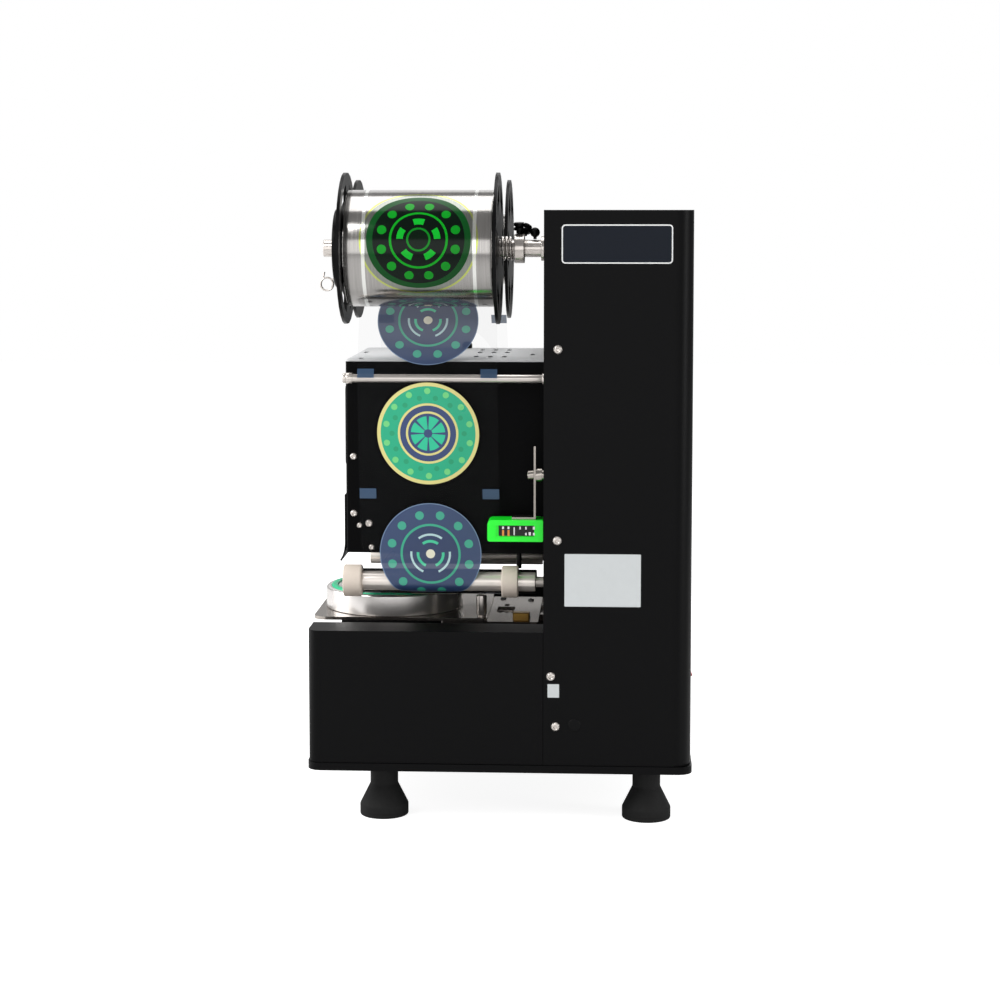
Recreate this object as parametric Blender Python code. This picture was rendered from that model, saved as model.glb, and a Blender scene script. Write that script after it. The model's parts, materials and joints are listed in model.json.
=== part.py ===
"""Automatic cup sealing machine: a film runs from a supply spool, under a heated press, to a take-up spool.

Lengths are in millimetres and become metres where a mesh is made. X runs from the cup drawer at the
front to the tower at the back, Y across the machine and Z up. While the pieces are made, X is measured
from the tower's front plate. The last step moves the origin to the middle of the footprint.
"""

from math import acos, asin, atan2, cos, hypot, pi, radians, sin, sqrt, tan

import bmesh
import bpy
from mathutils import Matrix, Vector
from mathutils.geometry import tessellate_polygon

MM = 0.001
GAP = 0.3  # left between pieces that touch
SLIDE = 0.3  # running clearance of rods, shafts and bores
SHEET = 1.5  # folded steel sheet
FINE_SIDES = 30  # sides of the large round pieces
MIDDLE_SIDES = 20
SMALL_SIDES = 16
TINY_SIDES = 12

# Feet and bottom pan
FOOT_HEIGHT = 51.0
FOOT_RADIUS = 22.7
FOOT_NECK_RADIUS = 13.0
FOOT_RIM_HEIGHT = 10.5
FOOT_CONE_TOP = 30.0
FOOT_INSET_FRONT = 66.5
FOOT_INSET_REAR = 40.1
FOOT_INSET_SIDE = 41.2
PAN_HEIGHT = 7.0
PAN_FLOOR = 2.0
PAN_LIP = 1.2
PAN_LIP_INSIDE = 0.8
PAN_CORNER = 13.0

# Tower
TOWER_WIDTH = 297.0
TOWER_DEPTH = 135.4
TOWER_TOP = 566.4
TOWER_CORNER = 18.0
TOWER_PLATE = 3.0
WINDOW_WIDTH = 144.0
WINDOW_TOP = 186.0

# Head that holds the press
HEAD_LENGTH = 187.2
HEAD_WIDTH = 187.0
HEAD_BOTTOM = 245.6
HEAD_TOP = 427.0
HEAD_CORNER = 3.5
SEAL_FROM_FRONT = 81.5  # from the head's front to the sealing centre
SEAL_DISTANCE = HEAD_LENGTH - SEAL_FROM_FRONT
HEAD_OPENING_RADIUS = 57.0
VENT_LENGTH = 20.0
VENT_WIDTH = 4.5
VENT_START = 41.0
VENT_PITCH = 13.5
VENT_ROWS = (-41.0, 22.0, 60.0)
VENT_COLUMNS = 3
VENT_SINGLES = ((-15.0, -8.0), (-HEAD_LENGTH + 7.2, 18.0), (-HEAD_LENGTH + 13.0, -73.0))

# Base on both sides of the cup channel
BASE_AHEAD = 30.0  # how far it stands out past the head
BASE_LENGTH = HEAD_LENGTH + BASE_AHEAD
BASE_TOP = 181.3
BASE_SIDE_WIDTH = 43.0
BASE_CORNER = 11.0
CHANNEL_END = 55.0
DECK_TOP = 150.0

# Cup drawer
DRAWER_OUT = 95.0
DRAWER_IN = 45.0  # from rest to the place under the press
CUP_BORE_RADIUS = 45.5
RING_RADIUS = 67.0
RING_HEIGHT = 20.2
RING_ROUND = 3.5
RING_DISTANCE = SEAL_DISTANCE + DRAWER_IN
TRAY_AHEAD = 72.0  # tray in front of the ring's middle
TRAY_BEHIND = 94.0
TRAY_FRONT = RING_DISTANCE + TRAY_AHEAD
TRAY_REAR = RING_DISTANCE - TRAY_BEHIND
TRAY_WIDTH = 137.0
TRAY_BOTTOM = 176.5
TRAY_SHEET = 3.0
TRAY_CORNER = 12.0
INSERT_RADIUS = 51.0
INSERT_SEAT = 2.3
GASKET_INNER_RADIUS = 55.7
GASKET_OUTER_RADIUS = 61.8
GASKET_DEPTH = 5.0
GASKET_RISE = 1.5
CARRIAGE_LAP = 43.0  # carriage under the tray
CARRIAGE_FRONT = TRAY_REAR + CARRIAGE_LAP
CARRIAGE_REAR = 7.7
CARRIAGE_SHEET = 3.2
CARRIAGE_WINDOW = (32.8, 49.8, -24.0, 12.0)  # front of the tower plate, then across
KEYHOLE_LENGTH = 12.0
KEYHOLE_WIDTH = 5.0
KEYHOLE_ACROSS = 21.0
RAIL_RADIUS = 5.0
RAIL_OFFSET = 56.5
RAIL_DROP = 12.5
RAIL_BACK = 5.5  # front end of the rails behind the base's front
RAIL_FRONT = BASE_LENGTH - RAIL_BACK
RAIL_REAR = 2.0
RAIL_ARM_LENGTH = 12.0
RAIL_ARM_HEIGHT = 12.0
BEARING_LENGTH = 35.0
BEARING_WIDTH = 18.0
BEARING_DROP = 8.0
RACK_SPARE = 11.0  # rack past the last mesh at both ends

# Gears of the drawer and press drives
GEAR_MODULE = 2.0
GEAR_TEETH = 20
GEAR_BACKLASH = 0.5
PRESSURE_ANGLE = radians(20)
GEAR_WIDTH = 10.0
RACK_BACK = 8.0

# Press
HEATER_RADIUS = 49.0
HEATER_THICKNESS = 15.0
CUTTER_RADIUS = 53.2
CUTTER_WALL = 2.0
CUTTER_CAP_GAP = 2.5
CUTTER_CAP = 3.0
PRESS_TRAVEL = 42.5
PRESS_STOP = 0.6  # left above the film at the press's lowest place
COLUMN_RADIUS = 20.0
COLUMN_NECK = 12.0
YOKE_BOTTOM = 294.0
YOKE_THICKNESS = 8.0
YOKE_LENGTH = 28.0
YOKE_SPARE = 11.0  # yoke past the middle of each post
POST_RADIUS = 5.0
POST_OFFSET = 73.5
PRESS_RACK_TOP = 418.0
PRESS_RACK_WIDTH = 12.0
PRESS_PINION_HEIGHT = 350.0

# Film path
SPOOL_OFFSET = 100.0
SUPPLY_HEIGHT = 531.0
TAKEUP_HEIGHT = 527.0
SPOOL_FLANGE_RADIUS = 70.0
SPOOL_FLANGE = 3.0
SHAFT_RADIUS = 8.0
SHAFT_AHEAD = 18.5  # shaft past the head's front
SHAFT_LENGTH = HEAD_LENGTH + SHAFT_AHEAD
ROLL_RADIUS = 53.8
ROLL_BACK = 5.5  # roll's front end behind the head's front
ROLL_FRONT = HEAD_LENGTH - ROLL_BACK
ROLL_REAR = 46.7
ROLL_CORE_RADIUS = 37.5
ROLL_SPARE = 5.0  # wound wider than the film
ROLL_SET = 2.1  # film's middle behind the roll's middle
SPOOL_TUBE_RADIUS = 12.0
SPOOL_SIDE_GAP = 1.5  # from the roll to the flange
SUPPLY_WINDOWS = (44.0, 60.0)
TAKEUP_WINDOWS = (40.0, 60.0)
WINDOW_COUNT = 6
WINDOW_HALF_ANGLE = radians(19)
HUB_DISC_RADIUS = 36.5
HUB_DISC = 6.0
HUB_SEAT = 14.5  # length of each hub inside the roll
CLIP_RADIUS = 5.9
CLIP_WIRE = 0.9
CLIP_TURNS = 1.75
CLIP_PITCH = 2 * CLIP_WIRE + GAP
CLIP_AHEAD = 8.5  # coil's middle from the hub disc
CLIP_ASIDE = 6.0  # from the spool's axis
CLIP_DROP = 33.0
CLIP_TAIL = 7.0
TAKEUP_ROLL_RADIUS = 35.0
TAKEUP_CORE_RADIUS = 20.0
TAKEUP_AHEAD = 11.0  # take-up flange past the head's front
TAKEUP_FLANGE_FRONT = HEAD_LENGTH + TAKEUP_AHEAD
TAKEUP_SHAFT_END = 12.0  # shaft past the flange
TAKEUP_REAR_GAP = 2.0
GUIDE_ROD_RADIUS = 3.9
GUIDE_ROD_OFFSET = 105.5
GUIDE_ROD_HEIGHT = 410.8
GUIDE_ROD_CAP = 0.8
GUIDE_ROD_CAP_LENGTH = 3.0
GUIDE_ROD_AHEAD = 0.9
GUIDE_ROD_LENGTH = HEAD_LENGTH + GUIDE_ROD_AHEAD
FEED_ROLLER_RADIUS = 8.9
FEED_ROLLER_OFFSET = 100.7
FEED_ROLLER_HEIGHT = 220.3
FEED_ROLLER_BACK = 1.5
FEED_ROLLER_LENGTH = HEAD_LENGTH - FEED_ROLLER_BACK
ROLLER_STUB_RADIUS = 5.0
ROLLER_SHOULDER = 8.7
RING_ON_ROLLER_RADIUS = 14.9
RING_ON_ROLLER_FRONT = 17.0
RING_ON_ROLLER_REAR = 15.4
RING_ON_ROLLER_GAP = 0.6
RING_ON_ROLLER_EDGE = 1.2
PINCH_ROLLER_RADIUS = 11.6
PINCH_ROLLER_OFFSET = 74.2
PINCH_ROLLER_HEIGHT = 215.8
PINCH_ROLLER_BACK = 12.5
PINCH_ROLLER_LENGTH = HEAD_LENGTH - PINCH_ROLLER_BACK
FILM_THICKNESS = 0.5
FILM_WIDTH = ROLL_FRONT - ROLL_REAR - ROLL_SPARE
FILM_CENTRE_AT_SPOOLS = (ROLL_FRONT + ROLL_REAR) / 2 - ROLL_SET
FILM_CENTRE_AT_ROLLERS = SEAL_DISTANCE + 0.1
ROD_SKEW = 0.55  # share of the film's sideways move that is left at the guide rods

# Brake on the supply shaft
SPRING_RADIUS = 9.9
SPRING_WIRE = 1.2
SPRING_TURNS = 3
COLLAR_RADIUS = 13.6
COLLAR_FRONT = 28.7
COLLAR_REAR = 19.3
SHAFT_FLANGE_RADIUS = 11.5

# Film mark sensor
SENSOR_LENGTH = 51.0
SENSOR_WIDTH = 25.0
SENSOR_BOTTOM = 263.6
SENSOR_HEIGHT = 19.9
SENSOR_OFFSET = 126.0
SENSOR_BACK = 0.7  # from the tower's front plate
SENSOR_WINDOW_FRONT = 43.9
SENSOR_WINDOW_REAR = 8.8
SENSOR_WINDOW_LEVELS = (4.5, 15.0)
SENSOR_WINDOW_DEPTH = 0.8
BRACKET_TOP = 351.0
BRACKET_SHEET = 1.8
BRACKET_DISTANCE = 9.4
BRACKET_WIDTH = 16.0
BRACKET_FOOT = 20.0
SPACER_HEIGHT = 324.0
SPACER_RADII = (7.0, 5.0)
SPACER_STEP = 2.2
BRACKET_KNOB_RADIUS = 4.4
BRACKET_KNOB_LENGTH = 6.0

# Panel, inlet and switch
PANEL_THICKNESS = 4.0
PANEL_WIDTH = 120.0
PANEL_BOTTOM = 325.0
PANEL_TOP = 400.0
BUTTON_RADIUS = 6.0
BUTTON_TRAVEL = 1.5
BUTTON_SPACING = 44.0
BUTTON_PROUD = 2.0
BUTTON_RISE = 17.0  # from the panel's lower edge
BUTTON_HEIGHT = PANEL_BOTTOM + BUTTON_RISE
SCREEN_WIDTH = 52.0
SCREEN_DEPTH = 1.2
SCREEN_FROM_BOTTOM = 35.0
SCREEN_FROM_TOP = 16.0
INLET_WIDTH = 31.0
INLET_HEIGHT = 58.0
INLET_CENTRE = 108.0
INLET_FLANGE = 2.5
INLET_EDGE = 2.0  # flange past the hole in the cover
INLET_DEPTH = 26.0
SOCKET_WIDTH = 23.0
SOCKET_HEIGHT = 16.0
SOCKET_CUT = 5.0  # sloped upper corners
SOCKET_DEPTH = 17.0
SOCKET_RISE = 7.0  # from the flange's lower edge
PIN_LENGTH = 12.0
PIN_WIDTH = 5.0
PIN_SHEET = 2.0
PIN_PLACES = ((-7.0, 6.0), (7.0, 6.0), (0.0, 10.5))
SWITCH_HALF_WIDTH = 6.0
SWITCH_RISE = 12.5  # rocker's middle above the inlet's middle
SWITCH_WELL_HALF = 10.5
SWITCH_WELL_DEPTH = 15.0

# Motors and board inside the tower
DRAWER_MOTOR = (18.5, 25.0, 17.5, 53.0)  # gearbox radius and length, motor radius and length
PRESS_MOTOR = (30.0, 30.0, 25.0, 67.0)
TAKEUP_MOTOR = (22.0, 25.0, 18.0, 47.0)
PINION_SHAFT_RADIUS = 4.0
PINION_HUB_RADIUS = 9.0
MOTOR_BOSS_RADIUS = 6.5
DECK_HOLE_RADIUS = 8.0
SHAFT_IN_MOTOR = 20.0
BOARD_SHEET = 1.6
BOARD_STANDOFF = 8.0
BOARD_POST_RADIUS = 3.0
BOARD_LOW = 210.0
BOARD_HIGH = 310.0
BOARD_NEAR = -75.0
BOARD_FAR = 45.0
BOARD_POST_INSET = 5.0
BOARD_BLOCKS = ((-45, 240, 40, 34, 30), (-5, 235, 20, 24, 15), (20, 235, 16, 24, 15), (5, 285, 50, 20, 12))

# Levels and limits worked out from the sizes above
PAN_TOP = FOOT_HEIGHT + PAN_HEIGHT
HOUSING_BOTTOM = PAN_TOP + GAP
TRAY_TOP = TRAY_BOTTOM + TRAY_SHEET
CARRIAGE_TOP = TRAY_BOTTOM - GAP
CARRIAGE_BOTTOM = CARRIAGE_TOP - CARRIAGE_SHEET
RAIL_HEIGHT = TRAY_BOTTOM - RAIL_DROP
CHANNEL_HALF = TOWER_WIDTH / 2 - BASE_SIDE_WIDTH
PITCH_RADIUS = GEAR_MODULE * GEAR_TEETH / 2
FILM_TOP = PINCH_ROLLER_HEIGHT - PINCH_ROLLER_RADIUS - GAP
HEATER_BOTTOM = FILM_TOP + PRESS_STOP + PRESS_TRAVEL
DRAWER_PINION_X = -24.7
DRAWER_PINION_Y = 12.0
DRAWER_GEAR_BOTTOM = DECK_TOP + 6.0
PRESS_PINION_Y = PITCH_RADIUS
PAN_REAR = TOWER_DEPTH + PAN_LIP
INLET_REAR = TOWER_DEPTH + GAP + INLET_FLANGE
ROCKER_HALF = 8.6
ROCKER_FACE = 4.0
ROCKER_BACK = 4.0
ROCKER_DIP = 1.4
ROCKER_SINK = 2.5
ROCKER_LEAN = radians(10)
SWITCH_PROUD = ROCKER_FACE * cos(ROCKER_LEAN) + ROCKER_HALF * sin(ROCKER_LEAN) - ROCKER_SINK
FOOTPRINT_MIDDLE = (INLET_REAR + SWITCH_PROUD - TRAY_FRONT) / 2
EXIT_ROLLER_HEIGHT = PINCH_ROLLER_HEIGHT - PINCH_ROLLER_RADIUS + FEED_ROLLER_RADIUS

# Colours as linear values, roughness and metallic
FINISHES = {
    "black_coat": ((0.006, 0.006, 0.007), 0.4, 0.0),
    "steel": ((0.55, 0.53, 0.5), 0.25, 1.0),
    "bright_steel": ((0.8, 0.78, 0.76), 0.12, 1.0),
    "zinc": ((0.5, 0.5, 0.48), 0.4, 1.0),
    "rubber": ((0.012, 0.012, 0.012), 0.8, 0.0),
    "cream_rubber": ((0.68, 0.6, 0.5), 0.6, 0.0),
    "teal_silicone": ((0.005, 0.5, 0.24), 0.5, 0.0),
    "black_plastic": ((0.01, 0.01, 0.01), 0.45, 0.0),
    "green_plastic": ((0.005, 0.87, 0.02), 0.35, 0.0),
    "film": ((0.5, 0.55, 0.52), 0.15, 0.0),
    "board": ((0.01, 0.15, 0.05), 0.5, 0.0),
    "red_plastic": ((0.5, 0.02, 0.02), 0.35, 0.0),
}


def clear_scene():
    for old in list(bpy.data.objects):
        bpy.data.objects.remove(old, do_unlink=True)


def finish_material(name, finish):
    colour, roughness, metallic = FINISHES[finish]
    material = bpy.data.materials.new(name + "_" + finish)
    material.use_nodes = True
    shader = material.node_tree.nodes["Principled BSDF"]
    shader.inputs["Base Color"].default_value = (*colour, 1.0)
    shader.inputs["Roughness"].default_value = roughness
    shader.inputs["Metallic"].default_value = metallic
    material.diffuse_color = (*colour, 1.0)
    return material


def new_object(name, bm, finish, at=(0, 0, 0)):
    """Makes an object from a mesh in millimetres around its own origin, which goes to the point at."""
    bmesh.ops.remove_doubles(bm, verts=bm.verts, dist=1e-4)
    bmesh.ops.recalc_face_normals(bm, faces=bm.faces)
    bmesh.ops.scale(bm, vec=(MM, MM, MM), verts=bm.verts)
    mesh = bpy.data.meshes.new(name)
    bm.to_mesh(mesh)
    bm.free()
    mesh.shade_smooth()
    mesh.set_sharp_from_angle(angle=radians(35))
    obj = bpy.data.objects.new(name, mesh)
    obj.location = Vector(at) * MM
    mesh.materials.append(finish_material(name, finish))
    bpy.context.scene.collection.objects.link(obj)
    return obj


def helper(name, bm, at=(0, 0, 0)):
    """A solid that only cuts or joins others."""
    obj = new_object(name, bm, "zinc", at)
    obj.hide_render = True
    obj.display_type = "WIRE"
    return obj


def boolean(obj, other, operation):
    modifier = obj.modifiers.new(operation.lower() + "_" + other.name, "BOOLEAN")
    modifier.operation = operation
    modifier.solver = "EXACT"
    modifier.object = other


def cut(obj, *others):
    for other in others:
        boolean(obj, other, "DIFFERENCE")


def unite(obj, *others):
    for other in others:
        boolean(obj, other, "UNION")


def soften(obj, width, segments=2):
    """Rounds the sharp folded edges of a sheet part."""
    modifier = obj.modifiers.new("edge_radius", "BEVEL")
    modifier.width = width * MM
    modifier.segments = segments
    modifier.limit_method = "ANGLE"
    modifier.angle_limit = radians(50)


def along(axis, u, v, w):
    """Turns (u, v) across an axis and w along it into a point."""
    return {"X": (w, u, v), "Y": (u, w, v), "Z": (u, v, w)}[axis]


def turned(profile, axis="X", segments=MIDDLE_SIDES):
    """Revolves (radius, height) points about an axis. A profile that starts and ends on the axis is solid."""
    bm = bmesh.new()
    rings = []
    for radius, height in profile:
        if radius < 1e-6:
            rings.append([bm.verts.new(along(axis, 0, 0, height))])
            continue
        angles = [2 * pi * step / segments for step in range(segments)]
        rings.append([bm.verts.new(along(axis, radius * cos(a), radius * sin(a), height)) for a in angles])
    count = len(rings) if len(rings[0]) > 1 else len(rings) - 1
    for index in range(count):
        first, second = rings[index], rings[(index + 1) % len(rings)]
        for step in range(segments):
            after = (step + 1) % segments
            corners = [first[step % len(first)], first[after % len(first)]]
            corners += [second[after % len(second)], second[step % len(second)]]
            corners = list(dict.fromkeys(corners))
            if len(corners) > 2:
                bm.faces.new(corners)
    return bm


def prism(outline, low, high, axis="Z", holes=()):
    """Extrudes a flat outline with holes along an axis."""
    bm = bmesh.new()
    loops = [list(outline)] + [list(hole) for hole in holes]
    flat = [Vector((u, v, 0)) for loop in loops for u, v in loop]
    ends = [[bm.verts.new(along(axis, p.x, p.y, level)) for p in flat] for level in (low, high)]
    for corners in tessellate_polygon([[Vector((u, v, 0)) for u, v in loop] for loop in loops]):
        for end in ends:
            bm.faces.new([end[index] for index in corners])
    start = 0
    for loop in loops:
        for index in range(len(loop)):
            a, b = start + index, start + (index + 1) % len(loop)
            bm.faces.new([ends[0][a], ends[0][b], ends[1][b], ends[1][a]])
        start += len(loop)
    return bm


def box(x_low, x_high, y_low, y_high, z_low, z_high):
    return prism(rectangle(x_low, x_high, y_low, y_high), z_low, z_high)


def rectangle(u_low, u_high, v_low, v_high):
    return [(u_low, v_low), (u_high, v_low), (u_high, v_high), (u_low, v_high)]


def rounded(u_low, u_high, v_low, v_high, radii, steps=4):
    """A rectangle with its own radius at each corner, counted from (low, low) round by (high, low)."""
    centres = ((u_low, v_low, 1, 1), (u_high, v_low, -1, 1), (u_high, v_high, -1, -1), (u_low, v_high, 1, -1))
    points = []
    for index, ((u, v, du, dv), radius) in enumerate(zip(centres, radii)):
        if radius == 0:
            points.append((u, v))
            continue
        start = pi + index * pi / 2
        for step in range(steps + 1):
            angle = start + step * pi / 2 / steps
            points.append((u + radius * (du + cos(angle)), v + radius * (dv + sin(angle))))
    return points


def circle(u, v, radius, segments=MIDDLE_SIDES):
    angles = [2 * pi * step / segments for step in range(segments)]
    return [(u + radius * cos(a), v + radius * sin(a)) for a in angles]


def slot(u, v, length, width, steps=3):
    """A round-ended slot that runs along u."""
    points = []
    for side in (1, -1):
        for step in range(steps + 1):
            angle = step * pi / steps - pi / 2
            middle = (length - width) / 2
            points.append((u + side * (middle + width / 2 * cos(angle)), v + side * width / 2 * sin(angle)))
    return points


def arc_window(inner, outer, middle, half_angle, steps=3):
    """A curved window in a spool flange, between two radii."""
    angles = [middle + half_angle * (2 * step / steps - 1) for step in range(steps + 1)]
    points = [(outer * cos(a), outer * sin(a)) for a in angles]
    return points + [(inner * cos(a), inner * sin(a)) for a in reversed(angles)]


def strip(path, thickness):
    """The outline of a bent sheet that follows a path at its middle."""
    left, right = [], []
    for index, (u, v) in enumerate(path):
        before = path[max(index - 1, 0)]
        after = path[min(index + 1, len(path) - 1)]
        length = hypot(after[0] - before[0], after[1] - before[1])
        nu, nv = -(after[1] - before[1]) / length, (after[0] - before[0]) / length
        left.append((u + nu * thickness / 2, v + nv * thickness / 2))
        right.append((u - nu * thickness / 2, v - nv * thickness / 2))
    return left + right[::-1]


def wire(name, points, radius, finish):
    """A bent round wire through points in millimetres."""
    curve = bpy.data.curves.new(name, "CURVE")
    curve.dimensions = "3D"
    curve.bevel_depth = radius * MM
    curve.bevel_resolution = 1
    curve.use_fill_caps = True
    spline = curve.splines.new("POLY")
    spline.points.add(len(points) - 1)
    for target, point in zip(spline.points, points):
        target.co = (point[0] * MM, point[1] * MM, point[2] * MM, 1)
    obj = bpy.data.objects.new(name, curve)
    curve.materials.append(finish_material(name, finish))
    bpy.context.scene.collection.objects.link(obj)
    return obj


# Gears

def involute(angle):
    return tan(angle) - angle


def tooth_half_angle(radius):
    """Half the angle that a tooth fills at a radius, outside the base circle."""
    base = PITCH_RADIUS * cos(PRESSURE_ANGLE)
    at_pitch = pi / (2 * GEAR_TEETH) - GEAR_BACKLASH / (2 * PITCH_RADIUS)
    return at_pitch + involute(PRESSURE_ANGLE) - involute(acos(min(1.0, base / radius)))


def pinion_outline(gap_angle, samples=2):
    """A spur pinion with involute flanks. A tooth gap faces gap_angle."""
    base = PITCH_RADIUS * cos(PRESSURE_ANGLE)
    root = PITCH_RADIUS - 1.25 * GEAR_MODULE
    tip = PITCH_RADIUS + 0.9 * GEAR_MODULE
    radii = [base + (tip - base) * step / (samples - 1) for step in range(samples)]
    points = []
    for tooth in range(GEAR_TEETH):
        middle = gap_angle + (tooth + 0.5) * 2 * pi / GEAR_TEETH
        flank = [(root, tooth_half_angle(base))] + [(r, tooth_half_angle(r)) for r in radii]
        for radius, half in flank:
            points.append((radius * cos(middle - half), radius * sin(middle - half)))
        for radius, half in reversed(flank):
            points.append((radius * cos(middle + half), radius * sin(middle + half)))
    return points


def rack_outline(first, last, pitch_line, tooth_at, back):
    """A rack along u whose teeth point to +v. A tooth is centred on tooth_at."""
    pitch = pi * GEAR_MODULE
    slope = tan(PRESSURE_ANGLE)
    tip_height = 0.9 * GEAR_MODULE
    root_height = -1.25 * GEAR_MODULE
    half_at_pitch = pitch / 4 - GEAR_BACKLASH / 2
    points = [(last, pitch_line + root_height), (last, pitch_line - back), (first, pitch_line - back)]
    points.append((first, pitch_line + root_height))
    start = int((first - tooth_at) // pitch) + 1
    stop = int((last - tooth_at) // pitch)
    for index in range(start, stop + 1):
        centre = tooth_at + index * pitch
        half_root = half_at_pitch - root_height * slope
        half_tip = half_at_pitch - tip_height * slope
        if centre - half_root <= first or centre + half_root >= last:
            continue
        points.append((centre - half_root, pitch_line + root_height))
        points.append((centre - half_tip, pitch_line + tip_height))
        points.append((centre + half_tip, pitch_line + tip_height))
        points.append((centre + half_root, pitch_line + root_height))
    return points


# Feet, pan and base

def make_feet():
    profile = [(0, 0), (FOOT_RADIUS - 1, 0), (FOOT_RADIUS, 1), (FOOT_RADIUS, FOOT_RIM_HEIGHT)]
    profile += [(FOOT_NECK_RADIUS, FOOT_CONE_TOP), (FOOT_NECK_RADIUS, FOOT_HEIGHT - GAP), (0, FOOT_HEIGHT - GAP)]
    front = -BASE_LENGTH + FOOT_INSET_FRONT
    rear = TOWER_DEPTH - FOOT_INSET_REAR
    side = TOWER_WIDTH / 2 - FOOT_INSET_SIDE
    places = (("front_near", front, -side), ("front_far", front, side))
    places += (("rear_near", rear, -side), ("rear_far", rear, side))
    for name, x, y in places:
        new_object("rubber_foot_" + name, turned(profile, "Z", SMALL_SIDES), "rubber", (x, y, 0))


def make_bottom_pan():
    half = TOWER_WIDTH / 2 + PAN_LIP
    outer = rounded(-BASE_LENGTH - PAN_LIP, PAN_REAR, -half, half, [PAN_CORNER] * 4)
    wall = PAN_LIP + PAN_LIP_INSIDE
    front = -BASE_LENGTH - PAN_LIP + wall
    inner = rounded(front, PAN_REAR - wall, -half + wall, half - wall, [PAN_CORNER - wall] * 4)
    pan = new_object("bottom_pan", prism(outer, FOOT_HEIGHT, PAN_TOP), "black_coat")
    cut(pan, helper("pan_hollow", prism(inner, FOOT_HEIGHT + PAN_FLOOR, PAN_TOP + 1)))


def make_base_side(name, side):
    """One sheet-metal box beside the cup channel, open underneath. side is -1 near and 1 far."""
    outer_edge = side * TOWER_WIDTH / 2
    inner_edge = side * CHANNEL_HALF
    low, high = sorted((outer_edge, inner_edge))
    front, rear = -BASE_LENGTH, -GAP
    near_corner = BASE_CORNER if side < 0 else 0
    far_corner = BASE_CORNER - near_corner
    outer = rounded(front, rear, low, high, [near_corner, 0, 0, far_corner])
    inside = [max(near_corner - SHEET, 0), 0, 0, max(far_corner - SHEET, 0)]
    inner = rounded(front + SHEET, rear - SHEET, low + SHEET, high - SHEET, inside)
    body = new_object(name, prism(outer, HOUSING_BOTTOM, BASE_TOP), "black_coat")
    cut(body, helper(name + "_hollow", prism(inner, HOUSING_BOTTOM - 1, BASE_TOP - SHEET)))
    soften(body, 1.0)


def make_channel_end_cover():
    """A folded cover behind the cup channel, with the drive's deck on top."""
    edge = CHANNEL_HALF - GAP
    floor = FOOT_HEIGHT + PAN_FLOOR + GAP
    outline = [(-CHANNEL_END, floor), (-CHANNEL_END + SHEET, floor), (-CHANNEL_END + SHEET, DECK_TOP - SHEET)]
    outline += [(-GAP, DECK_TOP - SHEET), (-GAP, DECK_TOP), (-CHANNEL_END, DECK_TOP)]
    cover = new_object("channel_end_cover", prism(outline, -edge, edge, "Y"), "black_coat")
    hole = circle(DRAWER_PINION_X, DRAWER_PINION_Y, DECK_HOLE_RADIUS, SMALL_SIDES)
    cut(cover, helper("deck_hole", prism(hole, DECK_TOP - 5, DECK_TOP + 5)))


# Tower

def make_tower_cover():
    half = TOWER_WIDTH / 2
    inset = TOWER_CORNER - SHEET
    outer = rounded(0, TOWER_DEPTH, -half, half, [0, TOWER_CORNER, TOWER_CORNER, 0])
    inner = rounded(-1, TOWER_DEPTH - SHEET, -half + SHEET, half - SHEET, [0, inset, inset, 0])
    cover = new_object("tower_cover", prism(outer, HOUSING_BOTTOM, TOWER_TOP), "black_coat")
    hollow = helper("tower_hollow", prism(inner, HOUSING_BOTTOM - 1, TOWER_TOP - SHEET))
    across, up = INLET_WIDTH / 2 - INLET_EDGE, INLET_HEIGHT / 2 - INLET_EDGE
    opening = rectangle(-across, across, INLET_CENTRE - up, INLET_CENTRE + up)
    cut(cover, hollow, helper("inlet_hole", prism(opening, TOWER_DEPTH - 5, TOWER_DEPTH + 5, "X")))
    soften(cover, 0.8)


def make_tower_front_plate():
    """The plate that carries every shaft, with a window for the drawer's carriage."""
    half = TOWER_WIDTH / 2 - SHEET - GAP
    outline = rectangle(-half, half, HOUSING_BOTTOM, TOWER_TOP - SHEET - GAP)
    holes = [rectangle(-WINDOW_WIDTH / 2, WINDOW_WIDTH / 2, DECK_TOP + GAP, WINDOW_TOP)]
    holes.append(circle(-SPOOL_OFFSET, SUPPLY_HEIGHT, SHAFT_RADIUS + SLIDE, SMALL_SIDES))
    holes.append(circle(SPOOL_OFFSET, TAKEUP_HEIGHT, SHAFT_RADIUS + SLIDE, SMALL_SIDES))
    holes.append(circle(PRESS_PINION_Y, PRESS_PINION_HEIGHT, ROLLER_STUB_RADIUS + SLIDE, SMALL_SIDES))
    for y, z in ((-FEED_ROLLER_OFFSET, FEED_ROLLER_HEIGHT), (-PINCH_ROLLER_OFFSET, PINCH_ROLLER_HEIGHT),
                 (FEED_ROLLER_OFFSET, EXIT_ROLLER_HEIGHT)):
        holes.append(circle(y, z, ROLLER_STUB_RADIUS + SLIDE, SMALL_SIDES))
    new_object("tower_front_plate", prism(outline, 0, TOWER_PLATE, "X", holes), "black_coat")


# Head

def make_head_cover():
    half = HEAD_WIDTH / 2
    top = HEAD_TOP - SHEET - GAP
    outer = rounded(-HEAD_LENGTH, -GAP, -half, half, [HEAD_CORNER, 0, 0, HEAD_CORNER], 3)
    inset = HEAD_CORNER - SHEET
    inner = rounded(-HEAD_LENGTH + SHEET, 1, -half + SHEET, half - SHEET, [inset, 0, 0, inset], 3)
    cover = new_object("head_cover", prism(outer, HEAD_BOTTOM, top), "black_coat")
    hollow = helper("head_hollow", prism(inner, HEAD_BOTTOM + SHEET, top + 1))
    opening = circle(-SEAL_DISTANCE, 0, HEAD_OPENING_RADIUS, FINE_SIDES)
    cut(cover, hollow, helper("head_opening", prism(opening, HEAD_BOTTOM - 1, HEAD_BOTTOM + SHEET + 1)))
    soften(cover, 0.7)


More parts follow.
